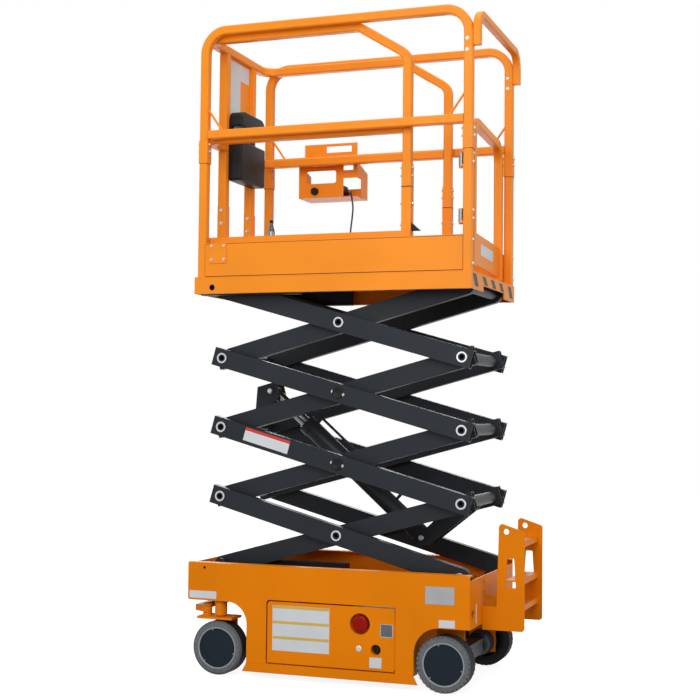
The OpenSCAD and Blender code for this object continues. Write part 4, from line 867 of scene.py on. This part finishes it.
# %% Plate on the arm and sheet on the front panel
SHEET_ALONG, SHEET_OFF, SHEET_LIFT = (798, 1015), (-25, 33), 1.0
RED_OFF, RED_LIFT = (20, 33), 1.4
PANEL_RIM, PANEL_STEP, PANEL_NOTCH = 8 * MM, 0.30, 0.58
arm_sheet = Pieces("arm_sheet", "outer_arm_2_body", label_white, None)
arm_band = Pieces("arm_band", "outer_arm_2_body", label_red, None)
layers = ((arm_sheet, SHEET_OFF, SHEET_LIFT), (arm_band, RED_OFF, RED_LIFT))
start, end = SHEET_ALONG
for pieces, (low, high), lift in layers:
    outline = ((start, low), (end, low), (end, high), (start, high))
    corners = [outer_point(2, along, off, ARM_FACE) for along, off in outline]
    pieces.slab(corners, LEFT * STICKER * MM * lift)
    pieces.done()
panel_sheet = Pieces("panel_sheet", "extension", label_white, None)
near, far = panel_high.y - PANEL_RIM, panel_low.y + PANEL_RIM
top, bottom = panel_high.z - PANEL_RIM, panel_low.z + PANEL_RIM
knee = top + (bottom - top) * PANEL_STEP
inset = near + (far - near) * PANEL_NOTCH
outline = ((near, top), (far, top), (far, knee), (inset, knee), (inset, bottom), (near, bottom))
panel_sheet.slab([(panel_low.x, y, z) for y, z in outline], REAR * STICKER * MM)
panel_sheet.done()

# %% [markdown]
# ## Stripes
#
# Slanting dark stripes run along the deck's rear plate, shorter where the plate is notched. Each
# has a yellow rim that is a painted highlight, the glint of light along its edges. Each is a
# parallelogram, and the rim is a wider one below it that stands less proud.

# %% Stripes
STRIPES = ((316, -60), (160, -44), (14, -44), (-132, -44), (-300, -60))
LEAN, STRIPE_W, STRIPE_TOP, GLINT_W = 20, 58, -10, 6
STRIPE_LIFT, GLINT_LIFT = 1.4, 0.8
stripes = Pieces("deck_stripes", "platform", stripe_dark, "black_plastic")
# The glints are painted highlights, yellow rims for the light on the stripes' edges.
glints = Pieces("deck_glints", "platform", stripe_painted_glint, None)
layers = ((glints, STRIPE_W + GLINT_W, GLINT_LIFT), (stripes, STRIPE_W, STRIPE_LIFT))
for y, low in STRIPES:
    for pieces, wide, lift in layers:
        half = wide / 2
        outline = ((LEAN - half, STRIPE_TOP), (LEAN + half, STRIPE_TOP), (half - LEAN, low),
                   (-half - LEAN, low))
        corners = [on_deck(REAR_FACE, y + dy, rise) for dy, rise in outline]
        pieces.slab(corners, REAR * STICKER * MM * lift)
stripes.done()
glints.done()

# %% [markdown]
# ## Gate
#
# The gate stands a little ajar, so what sits on it is placed in the closed gate's plane and turned
# with it about the hinge. Its hinges are bare metal barrels of three knuckles: one turned profile
# with a groove between the knuckles. A blank sticker is on its toe plate.

# %% Gate
HINGE = (pivot["gate_swing"].x / MM, (pivot["gate_swing"].y - MIDDLE) / MM)
HINGE_R, HINGE_LEAF, HINGE_SIDES, BARREL_LIFT = 11, 8, 32, 1.2
KNUCKLES, KNUCKLE, GROOVE, KNUCKLE_EASE = 3, 18, 1.2, 0.6
SKIN, GROOVE_SKIN, WALL_IN, END_IN = 0.7, 0.1, 0.5, 2
START_IN, START_OUT, END_FLAT, END_DOME = 0.2, -0.1, 0.4, 1
AJAR = math.radians(3.5)
GATE_PROUD, GATE_SHEET_Y, GATE_SHEET_RISES = 2, (115, -165), (90, 138)


def on_gate(x, y, rise):
    """A place on the gate, given for the closed gate."""
    dx, dy = x - HINGE[0], y - HINGE[1]
    return on_deck(HINGE[0] + dx * math.cos(AJAR) - dy * math.sin(AJAR),
                   HINGE[1] + dx * math.sin(AJAR) + dy * math.cos(AJAR), rise)


skin, eased, inner = HINGE_R + SKIN, HINGE_R + SKIN - KNUCKLE_EASE, HINGE_R - END_IN
barrel = [(inner, START_IN), (inner, START_OUT)]
for k in range(KNUCKLES):
    start = k * KNUCKLE
    end = start + KNUCKLE - GROOVE
    barrel += [(eased, start), (skin, start + KNUCKLE_EASE), (skin, end - KNUCKLE_EASE),
               (eased, end), (HINGE_R + GROOVE_SKIN, end + GROOVE / 2)]
tip = KNUCKLES * KNUCKLE
barrel += [(eased, tip), (inner, tip + END_DOME), (inner, tip + END_FLAT),
           (HINGE_R - WALL_IN, tip + END_FLAT), (HINGE_R - WALL_IN, START_IN)]
barrels = Pieces("hinge_barrels", "gate_body", hinge_metal, "chrome")
for low in HINGE_LOWS:
    foot = on_deck(*HINGE, low + HINGE_LEAF + BARREL_LIFT)
    barrels.turned(foot, (0, 0, 1), barrel, HINGE_SIDES)
barrels.done(smooth=True)
gate_sheet = Pieces("gate_sheet", "gate_body", label_white, None)
(y0, y1), (low, high) = GATE_SHEET_Y, GATE_SHEET_RISES
outline = ((y0, low), (y1, low), (y1, high), (y0, high))
corners = [on_gate(POST_REAR - GATE_PROUD, y, rise) for y, rise in outline]
gate_sheet.slab(corners, REAR * STICKER * MM)
gate_sheet.done()

# %% [markdown]
# ## Document box
#
# The box is blow-moulded, so its edges are round. The piece is a merged copy of the CAD solid with
# the edges of its front and of its lid eased by a bevel; the back board keeps its sharp edges. A
# Bevel modifier would round every edge alike, so the edges are picked by their place.

# %% Document box
BOX_EASE, EASE_STEPS, EASE_ROUND, BOARD_T = 9 * MM, 4, 0.5, 10 * MM
MERGE, FLAT, CORNER = 0.01 * MM, math.radians(1), math.radians(30)
soft_box = Pieces("document_box_soft", "extension", finish["black_plastic"], "black_plastic")
soft_box.mesh.from_mesh(nodes["document_box"].data)
solid = soft_box.mesh
bmesh.ops.remove_doubles(solid, verts=solid.verts, dist=MERGE)
bmesh.ops.dissolve_limit(solid, angle_limit=FLAT, verts=solid.verts, edges=solid.edges)
back = max(v.co.x for v in solid.verts) - BOARD_T
eased = [e for e in solid.edges if e.is_manifold and e.calc_face_angle() > CORNER
         and min(v.co.x for v in e.verts) < back]
bmesh.ops.bevel(solid, geom=eased, offset=BOX_EASE, segments=EASE_STEPS, profile=EASE_ROUND,
                affect="EDGES", clamp_overlap=True)
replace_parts(soft_box.done(smooth=True), "document_box")

# %% [markdown]
# ## Lever ball
#
# A round black knob is pressed on the deck lever. It is turned from half of its outline, and its
# place is the middle of the lever's box.

# %% Lever ball
BALL = ((0.2, 0), (8, 2), (9.2, 8), (8, 14), (4.5, 17.4), (0.2, 18.4))
BALL_DOWN, BALL_SIDES = 17 * MM, 24
lever_low, lever_high = box("deck_lever")
lever_at = (lever_low + lever_high) / 2
lever_at.z = lever_high.z - BALL_DOWN
lever_ball = Pieces("lever_ball", "extension", finish["black_plastic"], "black_plastic")
lever_ball.turned(lever_at, (0, 0, 1), BALL, BALL_SIDES)
lever_ball.done(smooth=True)

# %% [markdown]
# ## Stop button and screen
#
# The stop button sits in a round recess on the left door, with a small screen beside it. The CAD
# solids are there already, so only the cap, the rim and the glass are added. Places are x and z on
# the door, and a face is the distance from the middle plane. The rim's bars lap over each other, so
# that no two of them share an edge.

# %% Stop button and screen
STOP_AT, STOP_FACE = (-73, 258), 372
STOP_CAP = ((33, -6), (33, 0), (30, 2.6), (22, 3.6), (12, 3.0), (0.2, 2.8), (0.2, -6))
SCREEN_X, SCREEN_Z, SCREEN_FACE, GLASS_T = (-213, -165), (213, 261), 374, 0.8
RIM_W, RIM_T, RIM_LAP, RIM_STEP = 4, 1.6, 0.5, 0.2
stop_cap = Pieces("stop_cap", "door_left_body", finish["red_plastic"], "red_plastic")
stop_cap.turned(at(STOP_AT[0], STOP_FACE, STOP_AT[1]), LEFT, STOP_CAP)
stop_cap.done(smooth=True)
(x0, x1), (z0, z1) = SCREEN_X, SCREEN_Z
screen = Pieces("screen_glass", "door_left_body", grille, "black_plastic")
screen.block(at(x0, SCREEN_FACE, z0), at(x1, SCREEN_FACE + GLASS_T, z1))
screen.done()
screen_rim = Pieces("screen_rim", "door_left_body", label_silver, None)
for low, high in ((x0 - RIM_W, x0), (x1, x1 + RIM_W)):
    screen_rim.block(at(low, SCREEN_FACE, z0 - RIM_W), at(high, SCREEN_FACE + RIM_T, z1 + RIM_W))
for low, high in ((z0 - RIM_W + RIM_STEP, z0), (z1, z1 + RIM_W - RIM_STEP)):
    screen_rim.block(at(x0 - RIM_LAP, SCREEN_FACE, low),
                     at(x1 + RIM_LAP, SCREEN_FACE + RIM_T - RIM_STEP, high))
screen_rim.done()

# %% [markdown]
# ## Key switch and charging socket
#
# The key stands upright in a turned rose. The socket's core lies deep in its recess, with three
# round contacts. Both are simple turned and round shapes, so they need no modelling by hand.

# %% Key switch and charging socket
KEY_AT, KEY_W, KEY_H, KEY_T = (-69, 157), 3, 20, 4
KEY_ROSE = ((12, 0), (12, 1.2), (9, 2.4), (3, 2.4), (3, 1.4), (0.2, 1.4), (0.2, 0))
SOCKET_AT, SOCKET_FACE, SOCKET_R, SOCKET_T = (-143, 156), 353.6, 17, 4
CONTACTS, CONTACT_RING, CONTACT_R, CONTACT_L, CONTACT_SIDES = 3, 8, 3, 6, 16
x, z = KEY_AT
key_switch = Pieces("key_switch", "door_left_body", zinc, "chrome")
key_switch.turned(at(x, SIDE_Y, z), LEFT, KEY_ROSE)
key_switch.block(at(x - KEY_W / 2, SIDE_Y, z - KEY_H / 2),
                 at(x + KEY_W / 2, SIDE_Y + KEY_T, z + KEY_H / 2))
key_switch.done(smooth=True)
x, z = SOCKET_AT
socket_core = Pieces("socket_core", "door_left_body", finish["black_plastic"], "black_plastic")
socket_core.disc(at(x, SOCKET_FACE, z), LEFT, SOCKET_R, SOCKET_T)
for k in range(CONTACTS):
    spin = 2 * math.pi * k / CONTACTS
    spot = at(x + CONTACT_RING * math.cos(spin), SOCKET_FACE + SOCKET_T,
              z + CONTACT_RING * math.sin(spin))
    socket_core.disc(spot, LEFT, CONTACT_R, CONTACT_L, CONTACT_SIDES)
socket_core.done()

# %% [markdown]
# ## Wheels
#
# The tyres are cast on the discs: a pale bead line runs round the navy disc and three small tabs
# hold it. The rear tyres carry lugs along both shoulders, which the repeat tree sets out round the
# axle. A lug is a wedge that fills the tyre's eased shoulder, so the tyre stays round.

# %% Wheels
WHEELS = {"front_left": 1, "front_right": -1, "rear_left": 1, "rear_right": -1}
tyre_low, tyre_high = box("tyre_rear_left")
AXLE_Z = pivot["spin_rear_left"].z / MM
WHEEL_OUT, WHEEL_IN = (tyre_high.y - MIDDLE) / MM, (tyre_low.y - MIDDLE) / MM
BEAD = ((83.2, 0), (83.2, 2.2), (85, 3.4), (88.5, 3.4), (90, 2.4), (90, 0))
BEAD_SUNK, BEAD_SIDES = 3.8, 72
TABS, TAB_START, TAB_RING, TAB_SUNK = 3, 75, 79, 4
TAB_R, TAB_T, TAB_SIDES = 2.6, 2.4, 12
LUGS, LUG_HALF, LUG_SUNK = 34, 6.5, 0.1
LUG_SECTION = ((-9.2, 0), (-2.1, 0), (-2.1, -9))


def build_lug(mesh):
    """A wedge in the tyre's shoulder; X goes round, Y outward along the axle, Z outward."""
    loops = [[mesh.verts.new((x * MM, y * MM, z * MM)) for y, z in LUG_SECTION]
             for x in (-LUG_HALF, LUG_HALF)]
    mesh.faces.new(loops[0])
    mesh.faces.new(list(reversed(loops[1])))
    for k in range(len(LUG_SECTION)):
        m = (k + 1) % len(LUG_SECTION)
        mesh.faces.new((loops[0][m], loops[0][k], loops[1][k], loops[1][m]))


def lug_places(x, side):
    """Lugs round both shoulders of a wheel at x."""
    places = []
    for k in range(LUGS):
        spin = 2 * math.pi * k / LUGS
        out = Vector((math.cos(spin), 0, math.sin(spin)))
        for shoulder, way in ((WHEEL_OUT, side), (WHEEL_IN, -side)):
            along = outward(way)
            turn = Matrix((along.cross(out), along, out)).transposed().to_euler()
            spot = at(x, side * shoulder, AXLE_Z) + out * (AXLE_Z - LUG_SUNK) * MM
            places.append((tuple(spot), tuple(turn), (1, 1, 1)))
    return places


lug = prototype("lug_pattern", build_lug)
for name, side in WHEELS.items():
    body, x = "wheel_" + name, pivot["spin_" + name].x / MM
    ring = Pieces("bead_" + name, body, bead, "tyre")
    ring.turned(at(x, side * (WHEEL_OUT - BEAD_SUNK), AXLE_Z), outward(side), BEAD, BEAD_SIDES)
    for k in range(TABS):
        spin = math.radians(TAB_START + 360 / TABS * k)
        spot = at(x + TAB_RING * math.cos(spin), side * (WHEEL_OUT - TAB_SUNK),
                  AXLE_Z + TAB_RING * math.sin(spin))
        ring.disc(spot, outward(side), TAB_R, TAB_T, TAB_SIDES)
    ring.done(smooth=True)
    if name.startswith("rear"):
        repeat("lugs_" + name, body, lug, finish["tyre"], lug_places(x, side))

# %% [markdown]
# ## Drive motors
#
# A motor sits on the axle behind each rear wheel. It is a turned housing with a flange on the
# carrier, a clamped joint in the middle and a domed end. One profile gives all of that, where
# stacked cylinders would leave hard steps.

# %% Drive motors
CARRIER_IN, CARRIER_T = 32, 6
MOTOR = ((20, 0), (56, 0), (56, 8), (50, 10), (50, 38), (54, 40), (54, 47), (50, 49), (50, 86),
         (46, 93), (36, 100), (20, 100))
motors = Pieces("drive_motors", "chassis", finish["charcoal"], "charcoal")
for name in ("rear_left", "rear_right"):
    side, axle = WHEELS[name], pivot["spin_" + name]
    foot = at(axle.x / MM, side * (WHEEL_IN - CARRIER_IN - CARRIER_T), AXLE_Z)
    motors.turned(foot, outward(-side), MOTOR)
motors.done(smooth=True)

# %% [markdown]
# ## Deck tread
#
# Both floors get the low raised bars of a tread plate, set crosswise in turn. A bump in the paint
# would vanish at the rim of the deck, so they are geometry, by the repeat tree. The bars are low
# enough for the roll-out floor to pass over those of the main deck.

# %% Deck tread
PAD_L, PAD_W, PAD_H, PAD_PITCH, PAD_SUNK, PAD_SLANT = 11, 3.4, 0.9, 30, 0.1, 45
PAD_DOME = ((1.0, 0, False), (0.92, 0.6, False), (0.75, 0.9, False), (0.5, 1.0, False))
DECK_REAR_RIM, DECK_FRONT_RIM, DECK_SIDE_RIM = 40, 60, 70
FLOOR_REAR_RIM, FLOOR_FRONT_RIM, FLOOR_SIDE_RIM = 50, 90, 45
FLOOR_RISE = (box("extension_front")[0].z - DECK_TOP) / MM


def build_pad(mesh):
    """A low dome of unit size, which its size stretches to a bar."""
    lofted(mesh, PAD_DOME)


def tread(name, body, x0, x1, reach, rise):
    """Bars in rows between x0 and x1, out to reach on both sides of the middle."""
    columns, rows = int((x1 - x0) / PAD_PITCH), int(2 * reach / PAD_PITCH)
    size = (PAD_L * MM, PAD_W * MM, (PAD_H + PAD_SUNK) * MM)
    places = []
    for i in range(columns + 1):
        for j in range(rows + 1):
            spot = on_deck(x0 + i * PAD_PITCH, (j - rows / 2) * PAD_PITCH, rise - PAD_SUNK)
            slant = math.radians(PAD_SLANT if (i + j) % 2 else -PAD_SLANT)
            places.append((tuple(spot), (0, 0, slant), size))
    repeat(name, body, pad, finish["orange_light"], places)


pad = prototype("pad_pattern", build_pad)
tread("deck_tread", "platform", POST_REAR + DECK_REAR_RIM, POST_FRONT - DECK_FRONT_RIM,
      INNER_Y - DECK_SIDE_RIM, 0)
tread("extension_tread", "extension", INNER_POST + FLOOR_REAR_RIM, INNER_FRONT - FLOOR_FRONT_RIM,
      INNER_Y - FLOOR_SIDE_RIM, FLOOR_RISE)
for pattern in (bolt, nut, lug, pad):
    bpy.data.objects.remove(pattern)

# %% [markdown]
# ## Seams
#
# Dark lines mark where a sleeve ends, where the toe boards meet the deck and where their top edge
# is folded. They stand for the shadow in a gap that is too fine to model, as thin strips that
# barely stand proud of the paint.

# %% Seams
SEAM_LIFT, SEAM_SUNK, BOARD_LIFT = 0.4, 0.1, 0.5
BOARD_SEAMS = ((0, 3.5), (143, 144.6))
SLEEVE_TOP, SLEEVE_SEAM, INNER_TOP, INNER_SEAM = 501, 2, 363, 3


def collar(pieces, x, y, rise, half, tall):
    """A dark line round a square post."""
    out, sunk = half + SEAM_LIFT, half - SEAM_SUNK
    for dx0, dy0, dx1, dy1 in ((-out, -out, out, -sunk), (-out, sunk, out, out),
                               (-out, -half, -sunk, half), (sunk, -half, out, half)):
        pieces.block(on_deck(x + dx0, y + dy0, rise), on_deck(x + dx1, y + dy1, rise + tall))


seams = Pieces("platform_seams", "platform", seam, "orange_light")
board_y = (box("toe_boards")[1].y - MIDDLE) / MM - PLATE_LIFT
for side in BOTH_SIDES:
    y0, y1 = sorted((side * board_y, side * (board_y + BOARD_LIFT)))
    for low, high in BOARD_SEAMS:
        seams.block(on_deck(POST_REAR + RAIL_HALF, y0, low),
                    on_deck(POST_FRONT - RAIL_HALF, y1, high))
    for post in (POST_REAR, POST_FRONT):
        collar(seams, post, side * RAIL_Y, SLEEVE_TOP, RAIL_HALF, SLEEVE_SEAM)
seams.done()
inner_seams = Pieces("extension_seams", "extension", seam, "orange_light")
for side in BOTH_SIDES:
    collar(inner_seams, INNER_POST, side * INNER_Y, INNER_TOP, SLEEVE, INNER_SEAM)
inner_seams.done()

# %% [markdown]
# ## Studio floor
#
# The machine stands on a pale floor that runs out into the background. Lighting a floor until it is
# white would bleach the paint as well, so the floor glows only for rays from the camera, off metal
# and through glass. Its own grey still takes the machine's shadow.

# %% Studio floor
FLOOR_REACH, FLOOR_GLOW, FLOOR_TONE, FLOOR_ROUGH, FLOOR_SHEEN = 14.0, 0.88, 0.28, 0.9, 0.1
WHITE = (1, 1, 1, 1)


def background_rays(tree):
    """One for the rays that see the pale background: from the camera, off metal, through glass."""
    rays = tree.nodes.new("ShaderNodeLightPath")
    sees = rays.outputs["Is Camera Ray"]
    for kind in ("Is Glossy Ray", "Is Transmission Ray"):
        sees = combine(tree, "MAXIMUM", sees, rays.outputs[kind])
    return sees


floor_mesh = bpy.data.meshes.new("studio_floor")
quarters = ((-1, -1), (1, -1), (1, 1), (-1, 1))
floor_mesh.from_pydata([(x * FLOOR_REACH, y * FLOOR_REACH, 0) for x, y in quarters], [],
                       [(0, 1, 2, 3)])
floor = bpy.data.objects.new("studio_floor", floor_mesh)
floor_coat, floor_tree, floor_surface, _ = shader("floor_white", FLOOR_ROUGH)
floor_surface.inputs["Base Color"].default_value = (FLOOR_TONE, FLOOR_TONE, FLOOR_TONE, 1)
floor_surface.inputs["Specular IOR Level"].default_value = FLOOR_SHEEN
floor_surface.inputs["Emission Color"].default_value = WHITE
glow = spread(floor_tree, background_rays(floor_tree), 0, 1, 0, FLOOR_GLOW)
floor_tree.links.new(glow, floor_surface.inputs["Emission Strength"])
floor_mesh.materials.append(floor_coat)
bpy.context.scene.collection.objects.link(floor)
print("floor of", 2 * FLOOR_REACH, "m")

# %% [markdown]
# ## Lights
#
# One large soft key light stands beside the camera, with fills at the front, the rear and the far
# side, and a top light that draws the edges. Area lights give the wide soft reflections of a
# studio; a sun lamp would draw hard shadows. A grey world fills the rest.

# %% Lights
AIM = (0, MIDDLE, 1.3)
AMBIENT, BACKDROP = 0.42, 1.0


def soft_light(name, place, aim, size, power):
    """A square area light that looks at a point."""
    data = bpy.data.lights.new(name, "AREA")
    data.shape = "SQUARE"
    data.size = size
    data.energy = power
    light = bpy.data.objects.new(name, data)
    light.location = place
    light.rotation_euler = (Vector(aim) - Vector(place)).to_track_quat("-Z", "Y").to_euler()
    bpy.context.scene.collection.objects.link(light)


soft_light("key_light", (-0.6, 4.8, 3.2), AIM, size=3.2, power=165)
soft_light("front_fill", (4.2, 3.0, 2.4), AIM, size=3.0, power=40)
soft_light("rear_fill", (-4.5, 0.5, 2.2), AIM, size=2.5, power=55)
soft_light("back_fill", (2.0, -5.0, 2.8), AIM, size=3.0, power=110)
soft_light("top_light", (0, 0, 5.2), (0, 0, 0), size=3.0, power=60)

world = bpy.data.worlds.new("studio")
world.use_nodes = True
tree = world.node_tree
tree.nodes.clear()
sky_out = tree.nodes.new("ShaderNodeOutputWorld")
choose = tree.nodes.new("ShaderNodeMixShader")
tree.links.new(background_rays(tree), choose.inputs["Fac"])
for socket, strength in ((1, AMBIENT), (2, BACKDROP)):
    sky = tree.nodes.new("ShaderNodeBackground")
    sky.inputs["Color"].default_value = WHITE
    sky.inputs["Strength"].default_value = strength
    tree.links.new(sky.outputs["Background"], choose.inputs[socket])
tree.links.new(choose.outputs["Shader"], sky_out.inputs["Surface"])
bpy.context.scene.world = world
bpy.context.scene.view_settings.view_transform = "Standard"
print("studio of", len(bpy.data.lights), "lights")
